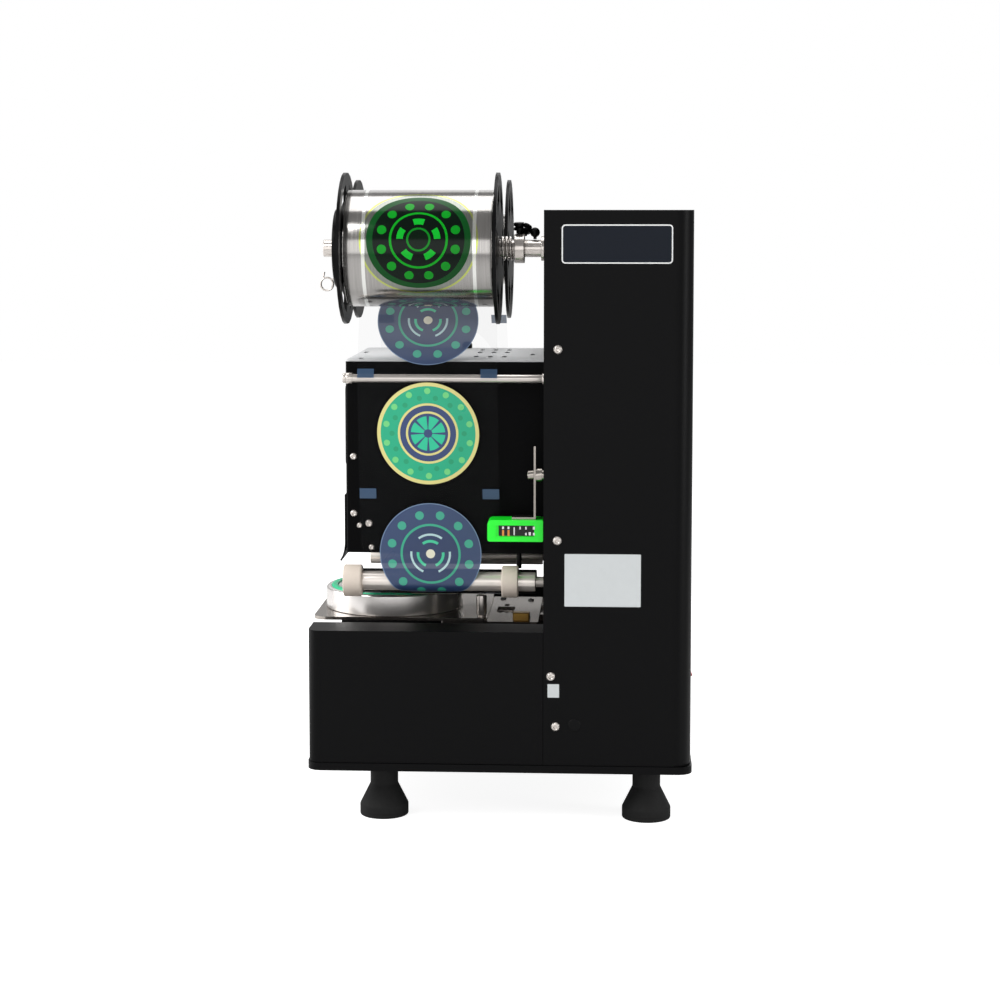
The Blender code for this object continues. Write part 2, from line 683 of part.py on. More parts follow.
def make_head_top_plate():
    half = HEAD_WIDTH / 2 - 0.8
    outline = rounded(-HEAD_LENGTH + 0.8, -GAP, -half, half, [HEAD_CORNER, 0, 0, HEAD_CORNER], 3)
    places = [(-VENT_START - VENT_PITCH * column, y) for column in range(VENT_COLUMNS) for y in VENT_ROWS]
    places += VENT_SINGLES
    holes = [[(x, y) for y, x in slot(middle, place, VENT_LENGTH, VENT_WIDTH)] for place, middle in places]
    new_object("head_top_plate", prism(outline, HEAD_TOP - SHEET, HEAD_TOP, "Z", holes), "zinc")


def make_front_guard():
    """A thin guard that hangs on the head's front and curls out at its lower edge."""
    x = -HEAD_LENGTH - GAP - SHEET / 2
    path = [(x, HEAD_BOTTOM + 54), (x, HEAD_BOTTOM + 8)]
    path += [(x - 0.8, HEAD_BOTTOM + 1), (x - 2.3, HEAD_BOTTOM - 4), (x - 4.8, HEAD_BOTTOM - 8.6)]
    half = HEAD_WIDTH / 2 - 4
    new_object("front_guard", prism(strip(path, SHEET), -half, half, "Y"), "black_coat")


def make_control_panel():
    back = -HEAD_LENGTH - GAP
    outline = rounded(-PANEL_WIDTH / 2, PANEL_WIDTH / 2, PANEL_BOTTOM, PANEL_TOP, [5] * 4, 3)
    spots = (-BUTTON_SPACING / 2, BUTTON_SPACING / 2)
    holes = [circle(y, BUTTON_HEIGHT, BUTTON_RADIUS + SLIDE, SMALL_SIDES) for y in spots]
    sheet = prism(outline, back - PANEL_THICKNESS, back, "X", holes)
    panel = new_object("control_panel", sheet, "black_plastic")
    across = SCREEN_WIDTH / 2
    screen = rectangle(-across, across, PANEL_BOTTOM + SCREEN_FROM_BOTTOM, PANEL_TOP - SCREEN_FROM_TOP)
    front = back - PANEL_THICKNESS
    cut(panel, helper("screen_recess", prism(screen, front - 1, front + SCREEN_DEPTH, "X")))
    for name, y in zip(("panel_button_start", "panel_button_mode"), spots):
        face = front - BUTTON_PROUD
        rear = back - BUTTON_TRAVEL - GAP
        profile = [(0, 0), (BUTTON_RADIUS - 0.8, 0), (BUTTON_RADIUS, 0.8)]
        profile += [(BUTTON_RADIUS, rear - face), (0, rear - face)]
        new_object(name, turned(profile, "X", SMALL_SIDES), "red_plastic", (face, y, BUTTON_HEIGHT))


# Cup drawer

def make_drawer_rails():
    """Round rails under the tray, each held by an arm at both ends on the channel's wall."""
    for name, side in (("drawer_rail_near", -1), ("drawer_rail_far", 1)):
        y = side * RAIL_OFFSET
        wall = side * (CHANNEL_HALF - GAP)
        profile = [(0, -RAIL_FRONT), (RAIL_RADIUS, -RAIL_FRONT), (RAIL_RADIUS, -RAIL_REAR), (0, -RAIL_REAR)]
        rail = new_object(name, turned(profile, "X", SMALL_SIDES), "bright_steel", (0, y, RAIL_HEIGHT))
        low, high = sorted((y, wall))
        bottom, top = RAIL_HEIGHT - RAIL_ARM_HEIGHT / 2, RAIL_HEIGHT + RAIL_ARM_HEIGHT / 2
        for end, start in (("front", -RAIL_FRONT), ("rear", -RAIL_REAR - RAIL_ARM_LENGTH)):
            arm = box(start, start + RAIL_ARM_LENGTH, low, high, bottom, top)
            unite(rail, helper(name + "_arm_" + end, arm))


def make_tray():
    half = TRAY_WIDTH / 2
    outline = rounded(-TRAY_FRONT, -TRAY_REAR, -half, half, [TRAY_CORNER, 3, 3, TRAY_CORNER], 5)
    hole = circle(-RING_DISTANCE, 0, CUP_BORE_RADIUS + 1, FINE_SIDES)
    new_object("drawer_tray", prism(outline, TRAY_BOTTOM, TRAY_TOP, "Z", [hole]), "steel")


def make_cup_ring():
    """The turned ring, its silicone gasket and the insert that carries the cup's rim."""
    base = TRAY_TOP + GAP
    top = base + RING_HEIGHT
    groove = top + GASKET_RISE - GASKET_DEPTH - GAP
    bore = INSERT_RADIUS + GAP
    profile = [(bore, base), (RING_RADIUS, base)]
    for step in range(4):
        angle = step * pi / 6
        out, up = RING_ROUND * cos(angle), RING_ROUND * sin(angle)
        profile.append((RING_RADIUS - RING_ROUND + out, top - RING_ROUND + up))
    profile += [(GASKET_OUTER_RADIUS + GAP, top), (GASKET_OUTER_RADIUS + GAP, groove)]
    profile += [(GASKET_INNER_RADIUS - GAP, groove), (GASKET_INNER_RADIUS - GAP, top - 0.2), (bore, top - 0.2)]
    at = (-RING_DISTANCE, 0, 0)
    new_object("cup_ring", turned(profile, "Z", FINE_SIDES), "bright_steel", at)
    low = groove + GAP
    high = low + GASKET_DEPTH
    profile = [(GASKET_INNER_RADIUS, low), (GASKET_OUTER_RADIUS, low), (GASKET_OUTER_RADIUS, high - 1)]
    profile += [(GASKET_OUTER_RADIUS - 1, high), (GASKET_INNER_RADIUS + 1, high), (GASKET_INNER_RADIUS, high - 1)]
    new_object("ring_gasket", turned(profile, "Z", FINE_SIDES), "teal_silicone", at)
    seat = INSERT_SEAT
    profile = [(CUP_BORE_RADIUS, base), (INSERT_RADIUS, base), (INSERT_RADIUS, top), (INSERT_RADIUS - 0.8, top + 0.7)]
    profile += [(CUP_BORE_RADIUS + seat, top + 0.7), (CUP_BORE_RADIUS + seat, top - 1.2), (CUP_BORE_RADIUS, top - 1.8)]
    new_object("cup_insert", turned(profile, "Z", FINE_SIDES), "black_plastic", at)


def make_carriage():
    """The plate behind the ring, with two bearing blocks on the rails and the drive's rack."""
    half = TRAY_WIDTH / 2
    outline = rounded(-CARRIAGE_FRONT, -CARRIAGE_REAR, -half, half, [2] * 4, 2)
    window_rear, window_front, near, far = CARRIAGE_WINDOW
    holes = [rectangle(-window_front, -window_rear, near, far)]
    middle = -(window_front + window_rear) / 2
    holes.append([(x, y) for y, x in slot(KEYHOLE_ACROSS, middle, KEYHOLE_LENGTH, KEYHOLE_WIDTH)])
    sheet = prism(outline, CARRIAGE_BOTTOM, CARRIAGE_TOP, "Z", holes)
    plate = new_object("drawer_carriage", sheet, "steel")
    for name, side in (("near", -1), ("far", 1)):
        y = side * RAIL_OFFSET
        low, high = y - BEARING_WIDTH / 2, y + BEARING_WIDTH / 2
        face = rectangle(low, high, RAIL_HEIGHT - BEARING_DROP, CARRIAGE_BOTTOM + 1)
        bore = circle(y, RAIL_HEIGHT, RAIL_RADIUS + SLIDE, SMALL_SIDES)
        block = prism(face, -CARRIAGE_FRONT, -CARRIAGE_FRONT + BEARING_LENGTH, "X", [bore])
        unite(plate, helper("bearing_block_" + name, block))
    first = DRAWER_PINION_X - DRAWER_IN - RACK_SPARE
    last = DRAWER_PINION_X + DRAWER_OUT + RACK_SPARE
    teeth = rack_outline(first, last, DRAWER_PINION_Y - PITCH_RADIUS, DRAWER_PINION_X, RACK_BACK)
    unite(plate, helper("drawer_rack", prism(teeth, DRAWER_GEAR_BOTTOM - 0.5, CARRIAGE_BOTTOM + 1)))


def make_drawer_drive():
    at = (DRAWER_PINION_X, DRAWER_PINION_Y, 0)
    gear = prism(pinion_outline(-pi / 2), DRAWER_GEAR_BOTTOM, DRAWER_GEAR_BOTTOM + GEAR_WIDTH)
    pinion = new_object("drawer_pinion", gear, "steel", at)
    hub_low = DECK_TOP + 3
    r = PINION_SHAFT_RADIUS
    end = DECK_TOP - SHAFT_IN_MOTOR
    profile = [(0, end + 1), (r, end + 1), (r, hub_low), (PINION_HUB_RADIUS, hub_low)]
    profile += [(PINION_HUB_RADIUS, DRAWER_GEAR_BOTTOM + 1), (0, DRAWER_GEAR_BOTTOM + 1)]
    unite(pinion, helper("drawer_pinion_shaft", turned(profile, "Z", SMALL_SIDES), at))
    face = DECK_TOP - SHEET - GAP
    boss = hub_low - GAP
    profile = [(0, end), (r + SLIDE, end), (r + SLIDE, boss), (MOTOR_BOSS_RADIUS, boss), (MOTOR_BOSS_RADIUS, face)]
    profile += motor_profile(DRAWER_MOTOR, face, -1)
    new_object("drawer_motor", turned(profile, "Z", SMALL_SIDES), "zinc", at)


def motor_profile(sizes, face, way):
    """Gearbox and motor as (radius, height) points, from the mounting face on in the direction way."""
    box_radius, box_length, radius, length = sizes
    step = face + way * box_length
    end = step + way * length
    return [(box_radius, face), (box_radius, step), (radius, step), (radius, end), (0, end)]


# Press

def make_press():
    centre = (-SEAL_DISTANCE, 0, 0)
    heater_top = HEATER_BOTTOM + HEATER_THICKNESS
    profile = [(0, HEATER_BOTTOM), (HEATER_RADIUS - 1, HEATER_BOTTOM), (HEATER_RADIUS, HEATER_BOTTOM + 1)]
    profile += [(HEATER_RADIUS, heater_top), (0, heater_top)]
    new_object("heater_plate", turned(profile, "Z", FINE_SIDES), "zinc", centre)
    cap_low = heater_top + CUTTER_CAP_GAP
    cap_high = cap_low + CUTTER_CAP
    neck = COLUMN_NECK
    inner = CUTTER_RADIUS - CUTTER_WALL
    edge = HEATER_BOTTOM + 1
    profile = [(neck + GAP, cap_low), (inner, cap_low), (inner, edge + 1), (CUTTER_RADIUS - 0.6, edge)]
    profile += [(CUTTER_RADIUS, edge + 1), (CUTTER_RADIUS, cap_high), (neck + GAP, cap_high)]
    new_object("film_cutter", turned(profile, "Z", FINE_SIDES), "steel", centre)
    profile = [(0, heater_top + GAP), (neck, heater_top + GAP), (neck, cap_high + GAP)]
    profile += [(COLUMN_RADIUS, cap_high + GAP), (COLUMN_RADIUS, YOKE_BOTTOM + 1), (0, YOKE_BOTTOM + 1)]
    yoke_top = YOKE_BOTTOM + YOKE_THICKNESS
    width = POST_OFFSET + YOKE_SPARE
    middle, half = -SEAL_DISTANCE, YOKE_LENGTH / 2
    holes = [circle(-SEAL_DISTANCE, side * POST_OFFSET, POST_RADIUS + SLIDE, SMALL_SIDES) for side in (-1, 1)]
    outline = rounded(middle - half, middle + half, -width, width, [8] * 4, 3)
    yoke = new_object("press_yoke", prism(outline, YOKE_BOTTOM, yoke_top, "Z", holes), "steel")
    unite(yoke, helper("press_column", turned(profile, "Z", SMALL_SIDES), centre))
    rack = rack_outline(yoke_top - 1, PRESS_RACK_TOP, 0, PRESS_PINION_HEIGHT, RACK_BACK)
    rack = [(y, z) for z, y in rack]
    half = PRESS_RACK_WIDTH / 2
    unite(yoke, helper("press_rack", prism(rack, middle - half, middle + half, "X")))
    for name, side in (("press_post_near", -1), ("press_post_far", 1)):
        low, high = HEAD_BOTTOM + SHEET + GAP, HEAD_TOP - SHEET - GAP
        profile = [(0, low), (POST_RADIUS, low), (POST_RADIUS, high), (0, high)]
        new_object(name, turned(profile, "Z", SMALL_SIDES), "bright_steel", (-SEAL_DISTANCE, side * POST_OFFSET, 0))


def make_press_drive():
    at = (0, PRESS_PINION_Y, PRESS_PINION_HEIGHT)
    half = GEAR_WIDTH / 2
    gear = prism(pinion_outline(pi), -SEAL_DISTANCE - half, -SEAL_DISTANCE + half, "X")
    pinion = new_object("press_pinion", gear, "steel", at)
    inner_end = TOWER_PLATE + SHAFT_IN_MOTOR
    shaft = [(0, -SEAL_DISTANCE - half + 1), (ROLLER_STUB_RADIUS, -SEAL_DISTANCE - half + 1)]
    shaft += [(ROLLER_STUB_RADIUS, inner_end), (0, inner_end)]
    unite(pinion, helper("press_pinion_shaft", turned(shaft, "X", SMALL_SIDES), at))
    face = TOWER_PLATE + GAP
    bore = ROLLER_STUB_RADIUS + SLIDE
    profile = [(0, inner_end + 1), (bore, inner_end + 1), (bore, face)] + motor_profile(PRESS_MOTOR, face, 1)
    new_object("press_motor", turned(profile, "X", SMALL_SIDES), "zinc", at)


# Spools

def flange_windows(radii):
    inner, outer = radii
    middles = [2 * pi * index / WINDOW_COUNT for index in range(WINDOW_COUNT)]
    return [arc_window(inner, outer, middle, WINDOW_HALF_ANGLE) for middle in middles]


def make_supply_spool():
    at = (0, -SPOOL_OFFSET, SUPPLY_HEIGHT)
    bore = SHAFT_RADIUS + SLIDE
    tube = SPOOL_TUBE_RADIUS
    hub = ROLL_CORE_RADIUS - SLIDE
    rear = -ROLL_REAR + SPOOL_SIDE_GAP
    outer = circle(0, 0, SPOOL_FLANGE_RADIUS, FINE_SIDES)
    windows = flange_windows(SUPPLY_WINDOWS)
    holes = [circle(0, 0, bore, SMALL_SIDES)] + windows
    core = new_object("supply_spool_core", prism(outer, rear, rear + SPOOL_FLANGE, "X", holes), "black_plastic", at)
    front = -ROLL_FRONT - SPOOL_SIDE_GAP - SPOOL_FLANGE
    end = front - SPOOL_SIDE_GAP
    seat = rear - HUB_SEAT
    profile = [(bore, end), (tube, end), (tube, seat), (hub, seat), (hub, rear + 1), (bore, rear + 1)]
    unite(core, helper("supply_core_hub", turned(profile, "X", SMALL_SIDES), at))
    holes = [circle(0, 0, tube + SLIDE, SMALL_SIDES)] + windows
    outer_flange = prism(outer, front, front + SPOOL_FLANGE, "X", holes)
    flange = new_object("supply_outer_flange", outer_flange, "black_plastic", at)
    bore_outside = tube + SLIDE
    seat = front + SPOOL_FLANGE + SPOOL_SIDE_GAP + HUB_SEAT
    profile = [(bore_outside, front + 2), (hub, front + 2), (hub, seat), (bore_outside, seat)]
    unite(flange, helper("supply_flange_hub", turned(profile, "X", SMALL_SIDES), at))
    disc_rear = end - GAP
    disc_front = disc_rear - HUB_DISC
    r = HUB_DISC_RADIUS
    profile = [(bore, disc_rear), (bore, disc_front), (r - 1, disc_front), (r, disc_front + 1), (r, disc_rear)]
    new_object("supply_hub_disc", turned(profile, "X"), "black_plastic", at)
    profile = [(ROLL_CORE_RADIUS, -ROLL_FRONT), (ROLL_RADIUS, -ROLL_FRONT)]
    profile += [(ROLL_RADIUS, -ROLL_REAR), (ROLL_CORE_RADIUS, -ROLL_REAR)]
    new_object("supply_film_roll", turned(profile, "X", FINE_SIDES), "film", at)
    make_retaining_clip(disc_front)


def make_retaining_clip(disc_front):
    """The sprung wire clip that hangs on the hub disc, with a double coil."""
    x, y, z = disc_front - CLIP_AHEAD, -SPOOL_OFFSET - CLIP_ASIDE, SUPPLY_HEIGHT - CLIP_DROP
    points = [(disc_front - GAP, y, z + 4.5)]
    count = 22
    for step in range(count + 1):
        turn = CLIP_TURNS * step / count
        angle = pi / 4 - 2 * pi * turn
        points.append((x + CLIP_RADIUS * cos(angle), y + CLIP_PITCH * turn, z + CLIP_RADIUS * sin(angle)))
    last = points[-1]
    points.append((last[0] + 1.5, last[1] + 0.5, last[2] + CLIP_TAIL))
    wire("retaining_clip", points, CLIP_WIRE, "bright_steel")


def make_supply_shaft():
    at = (0, -SPOOL_OFFSET, SUPPLY_HEIGHT)
    r = SHAFT_RADIUS
    end = TOWER_PLATE + 7
    profile = [(0, -SHAFT_LENGTH), (r - 1, -SHAFT_LENGTH), (r, -SHAFT_LENGTH + 1), (r, -4), (SHAFT_FLANGE_RADIUS, -4)]
    profile += [(SHAFT_FLANGE_RADIUS, -GAP), (r, -GAP), (r, end), (0, end)]
    new_object("supply_shaft", turned(profile, "X", SMALL_SIDES), "bright_steel", at)
    bore = r + SLIDE
    profile = [(bore, -COLLAR_FRONT), (COLLAR_RADIUS - 0.7, -COLLAR_FRONT), (COLLAR_RADIUS, -COLLAR_FRONT + 0.7)]
    profile += [(COLLAR_RADIUS, -COLLAR_REAR - 0.7), (COLLAR_RADIUS - 0.7, -COLLAR_REAR), (bore, -COLLAR_REAR)]
    new_object("brake_collar", turned(profile, "X", MIDDLE_SIDES), "bright_steel", at)
    make_brake_spring()
    make_collar_screws()


def make_brake_spring():
    low = -ROLL_REAR + SPOOL_SIDE_GAP + SPOOL_FLANGE + GAP + SPRING_WIRE
    high = -COLLAR_FRONT - GAP - SPRING_WIRE
    count = 10 * SPRING_TURNS
    points = []
    for step in range(count + 1):
        angle = 2 * pi * SPRING_TURNS * step / count
        x = low + (high - low) * step / count
        points.append((x, -SPOOL_OFFSET + SPRING_RADIUS * cos(angle), SUPPLY_HEIGHT + SPRING_RADIUS * sin(angle)))
    wire("brake_spring", points, SPRING_WIRE, "bright_steel")


def knob_profile(start):
    """A small thumbscrew from its foot up: neck, waist and rounded head."""
    heights = ((3.0, 0), (3.0, 2.5), (5.2, 3.0), (5.2, 5.4), (3.8, 6.2), (5.2, 7.0), (5.2, 9.4), (4.4, 10.2))
    return [(0, start)] + [(r, start + h) for r, h in heights] + [(0, start + 10.2)]


def make_collar_screws():
    """Two thumbscrews that stand on the brake collar."""
    middle = -(COLLAR_FRONT + COLLAR_REAR) / 2
    for name, lean_x, lean_y in (("collar_screw_upright", 0.0, -0.1), ("collar_screw_leaning", 0.3, 0.55)):
        direction = Vector((lean_x, lean_y, 1)).normalized()
        start = (COLLAR_RADIUS + GAP + 2.2 * direction.x) / sqrt(1 - direction.x ** 2)
        screw = new_object(name, turned(knob_profile(start), "Z", TINY_SIDES), "black_plastic",
                           (middle, -SPOOL_OFFSET, SUPPLY_HEIGHT))
        screw.rotation_mode = "QUATERNION"
        screw.rotation_quaternion = Vector((0, 0, 1)).rotation_difference(direction)
    x = -SHAFT_FLANGE_RADIUS / 2
    start = SHAFT_FLANGE_RADIUS - 3
    ball = 4.6
    profile = [(0, start), (1.5, start), (1.5, start + 2)]
    steps = 6
    low_angle = asin(-sqrt(1 - (1.5 / ball) ** 2))
    for step in range(steps):
        angle = low_angle + (pi / 2 - low_angle) * (step + 1) / (steps + 1)
        profile.append((ball * cos(angle), start + 2 + ball * (sin(angle) - sin(low_angle))))
    profile.append((0, start + 2 + ball * (1 - sin(low_angle))))
    new_object("shaft_lock_knob", turned(profile, "Z", TINY_SIDES), "black_plastic", (x - 4, -SPOOL_OFFSET, SUPPLY_HEIGHT))


def make_takeup_spool():
    at = (0, SPOOL_OFFSET, TAKEUP_HEIGHT)
    rear = -ROLL_REAR + TAKEUP_REAR_GAP
    front = -TAKEUP_FLANGE_FRONT
    outer = circle(0, 0, SPOOL_FLANGE_RADIUS, FINE_SIDES)
    windows = flange_windows(TAKEUP_WINDOWS)
    core = new_object("takeup_spool_core", prism(outer, rear, rear + SPOOL_FLANGE, "X", windows), "black_plastic", at)
    unite(core, helper("takeup_front_flange", prism(outer, front, front + SPOOL_FLANGE, "X", windows), at))
    end = TOWER_PLATE + 11
    tip = front - TAKEUP_SHAFT_END
    core_radius = TAKEUP_CORE_RADIUS
    profile = [(0, tip), (SHAFT_RADIUS, tip), (SHAFT_RADIUS, front + 1), (core_radius, front + 1)]
    profile += [(core_radius, rear + 2), (SHAFT_RADIUS, rear + 2), (SHAFT_RADIUS, end), (0, end)]
    unite(core, helper("takeup_shaft", turned(profile, "X", SMALL_SIDES), at))
    half = FILM_WIDTH / 2 + 0.5
    low, high = -FILM_CENTRE_AT_SPOOLS - half, -FILM_CENTRE_AT_SPOOLS + half
    bore = core_radius + GAP
    profile = [(bore, low), (TAKEUP_ROLL_RADIUS, low), (TAKEUP_ROLL_RADIUS, high), (bore, high)]
    new_object("takeup_film_roll", turned(profile, "X", FINE_SIDES), "film", at)
    face = TOWER_PLATE + GAP
    bore = SHAFT_RADIUS + SLIDE
    profile = [(0, end + 1), (bore, end + 1), (bore, face)] + motor_profile(TAKEUP_MOTOR, face, 1)
    new_object("takeup_motor", turned(profile, "X", SMALL_SIDES), "zinc", at)


# Rollers and film

def make_rods_and_rollers():
    for name, side in (("guide_rod_near", -1), ("guide_rod_far", 1)):
        cap = GUIDE_ROD_RADIUS + GUIDE_ROD_CAP
        step = -GUIDE_ROD_LENGTH + GUIDE_ROD_CAP_LENGTH
        profile = [(0, -GUIDE_ROD_LENGTH), (cap, -GUIDE_ROD_LENGTH), (cap, step)]
        profile += [(GUIDE_ROD_RADIUS, step), (GUIDE_ROD_RADIUS, -GAP), (0, -GAP)]
        at = (0, side * GUIDE_ROD_OFFSET, GUIDE_ROD_HEIGHT)
        new_object(name, turned(profile, "X", SMALL_SIDES), "bright_steel", at)
    feed = (FEED_ROLLER_RADIUS, FEED_ROLLER_LENGTH)
    pinch = (PINCH_ROLLER_RADIUS, PINCH_ROLLER_LENGTH)
    rollers = (("feed_roller", feed, -FEED_ROLLER_OFFSET, FEED_ROLLER_HEIGHT, "bright_steel"),
               ("pinch_roller", pinch, -PINCH_ROLLER_OFFSET, PINCH_ROLLER_HEIGHT, "rubber"),
               ("exit_roller", feed, FEED_ROLLER_OFFSET, EXIT_ROLLER_HEIGHT, "bright_steel"))
    for name, (radius, length), y, z, finish in rollers:
        profile = [(0, -length), (radius - 0.8, -length), (radius, -length + 0.8), (radius, -ROLLER_SHOULDER)]
        profile += [(ROLLER_STUB_RADIUS, -ROLLER_SHOULDER), (ROLLER_STUB_RADIUS, TOWER_PLATE), (0, TOWER_PLATE)]
        new_object(name, turned(profile, "X", SMALL_SIDES), finish, (0, y, z))
    at = (0, -FEED_ROLLER_OFFSET, FEED_ROLLER_HEIGHT)
    middle = -FILM_CENTRE_AT_ROLLERS
    half = FILM_WIDTH / 2 + RING_ON_ROLLER_GAP
    for name, low, high in (("feed_ring_front", middle - half - RING_ON_ROLLER_FRONT, middle - half),
                            ("feed_ring_rear", middle + half, middle + half + RING_ON_ROLLER_REAR)):
        bore = FEED_ROLLER_RADIUS + GAP
        r, edge = RING_ON_ROLLER_RADIUS, RING_ON_ROLLER_EDGE
        profile = [(bore, low), (r - edge, low), (r, low + edge), (r, high - edge), (r - edge, high), (bore, high)]
        new_object(name, turned(profile, "X"), "cream_rubber", at)


def film_path(step_angle=radians(15)):
    """The film's middle line across the machine as (y, z, share of the skew): tangents between wrapped circles."""
    clear = GAP + FILM_THICKNESS / 2
    # Each round: centre, radius of the middle line, side (1 when the centre is left of the film's travel), skew
    rounds = ((-SPOOL_OFFSET, SUPPLY_HEIGHT, ROLL_RADIUS + clear, -1, 1.0),
              (-GUIDE_ROD_OFFSET, GUIDE_ROD_HEIGHT, GUIDE_ROD_RADIUS + clear, 1, ROD_SKEW),
              (-FEED_ROLLER_OFFSET, FEED_ROLLER_HEIGHT, FEED_ROLLER_RADIUS + clear, 1, 0.0),
              (-PINCH_ROLLER_OFFSET, PINCH_ROLLER_HEIGHT, PINCH_ROLLER_RADIUS + clear, 1, 0.0),
              (FEED_ROLLER_OFFSET, EXIT_ROLLER_HEIGHT, FEED_ROLLER_RADIUS + clear, 1, 0.0),
              (GUIDE_ROD_OFFSET, GUIDE_ROD_HEIGHT, GUIDE_ROD_RADIUS + clear, 1, ROD_SKEW),
              (SPOOL_OFFSET, TAKEUP_HEIGHT, TAKEUP_ROLL_RADIUS + clear, -1, 1.0))
    headings = []
    for (y1, z1, r1, s1, _), (y2, z2, r2, s2, _) in zip(rounds, rounds[1:]):
        distance = hypot(y2 - y1, z2 - z1)
        headings.append(atan2(z2 - z1, y2 - y1) - asin((s2 * r2 - s1 * r1) / distance))
    for index in range(1, len(headings)):
        while headings[index] < headings[index - 1] - pi:
            headings[index] += 2 * pi
    path = []
    for index, (y, z, radius, side, skew) in enumerate(rounds):
        first = headings[max(index - 1, 0)]
        last = headings[min(index, len(headings) - 1)]
        if index in (0, len(rounds) - 1):
            first = last = headings[0] if index == 0 else headings[-1]
        count = max(1, int(abs(last - first) / step_angle + 0.999))
        steps = 1 if first == last else count + 1
        for step in range(steps):
            heading = first + (last - first) * step / count
            path.append((y + side * radius * sin(heading), z - side * radius * cos(heading), skew))
    return path


def make_film_web():
    path = film_path()
    bm = bmesh.new()
    rows = []
    for index, (y, z, skew) in enumerate(path):
        before, after = path[max(index - 1, 0)], path[min(index + 1, len(path) - 1)]
        length = hypot(after[0] - before[0], after[1] - before[1])
        ny, nz = -(after[1] - before[1]) / length, (after[0] - before[0]) / length
        middle = -FILM_CENTRE_AT_ROLLERS - skew * (FILM_CENTRE_AT_SPOOLS - FILM_CENTRE_AT_ROLLERS)
        half, deep = FILM_WIDTH / 2, FILM_THICKNESS / 2
        corners = ((-half, -deep), (half, -deep), (half, deep), (-half, deep))
        rows.append([bm.verts.new((middle + u, y + ny * v, z + nz * v)) for u, v in corners])
    for first, second in zip(rows, rows[1:]):
        for corner in range(4):
            after = (corner + 1) % 4
            bm.faces.new([first[corner], first[after], second[after], second[corner]])
    bm.faces.new(rows[0])
    bm.faces.new(rows[-1])
    new_object("film_web", bm, "film")


# Film mark sensor and its bracket

def make_sensor():
    half = SENSOR_WIDTH / 2
    top = SENSOR_BOTTOM + SENSOR_HEIGHT
    face = -SENSOR_OFFSET - half
    outline = rounded(-SENSOR_LENGTH - SENSOR_BACK, -SENSOR_BACK, SENSOR_BOTTOM, top, [2, 1, 1, 4], 3)
    sensor = new_object("sensor_body", prism(outline, face, -SENSOR_OFFSET + half, "Y"), "green_plastic")
    low, high = SENSOR_WINDOW_LEVELS
    window = rectangle(-SENSOR_WINDOW_FRONT, -SENSOR_WINDOW_REAR, SENSOR_BOTTOM + low, SENSOR_BOTTOM + high)
    cut(sensor, helper("sensor_window", prism(window, face - 1, face + SENSOR_WINDOW_DEPTH, "Y")))
    front, back = -BRACKET_DISTANCE, -BRACKET_DISTANCE + BRACKET_SHEET
    foot = top + GAP
    outline = [(front - BRACKET_FOOT, foot), (back, foot), (back, BRACKET_TOP), (front, BRACKET_TOP)]
    outline += [(front, foot + BRACKET_SHEET), (front - BRACKET_FOOT, foot + BRACKET_SHEET)]
    low, high = -SENSOR_OFFSET - BRACKET_WIDTH / 2, -SENSOR_OFFSET + BRACKET_WIDTH / 2
    bracket = new_object("sensor_bracket", prism(outline, low, high, "Y"), "steel")
    wide, narrow = SPACER_RADII
    spacer = [(0, back - 1), (wide, back - 1), (wide, -SPACER_STEP), (narrow, -SPACER_STEP), (narrow, -GAP), (0, -GAP)]
    at = (0, -SENSOR_OFFSET, SPACER_HEIGHT)
    unite(bracket, helper("sensor_spacer", turned(spacer, "X", SMALL_SIDES), at))
    r, end = BRACKET_KNOB_RADIUS, front - BRACKET_KNOB_LENGTH
    knob = [(0, front - GAP), (r, front - GAP), (r, end + 0.5), (r - 0.6, end), (0, end)]
    new_object("sensor_knob", turned(knob, "X", TINY_SIDES), "steel", at)


# Board, inlet and switch

def make_control_board():
    back = TOWER_DEPTH - SHEET - GAP
    plate = back - BOARD_STANDOFF
    front = plate - BOARD_SHEET
    board = new_object("control_board", box(front, plate, BOARD_NEAR, BOARD_FAR, BOARD_LOW, BOARD_HIGH), "board")
    inset = BOARD_POST_INSET
    r = BOARD_POST_RADIUS
    places = [(y, z) for y in (BOARD_NEAR + inset, BOARD_FAR - inset) for z in (BOARD_LOW + inset, BOARD_HIGH - inset)]
    for index, (y, z) in enumerate(places):
        post = turned([(0, plate - 1), (r, plate - 1), (r, back), (0, back)], "X", TINY_SIDES)
        unite(board, helper("board_post_" + str(index), post, (0, y, z)))
    for index, (y, z, width, height, depth) in enumerate(BOARD_BLOCKS):
        block = box(front - depth, front + 0.5, y - width / 2, y + width / 2, z - height / 2, z + height / 2)
        unite(board, helper("board_block_" + str(index), block))


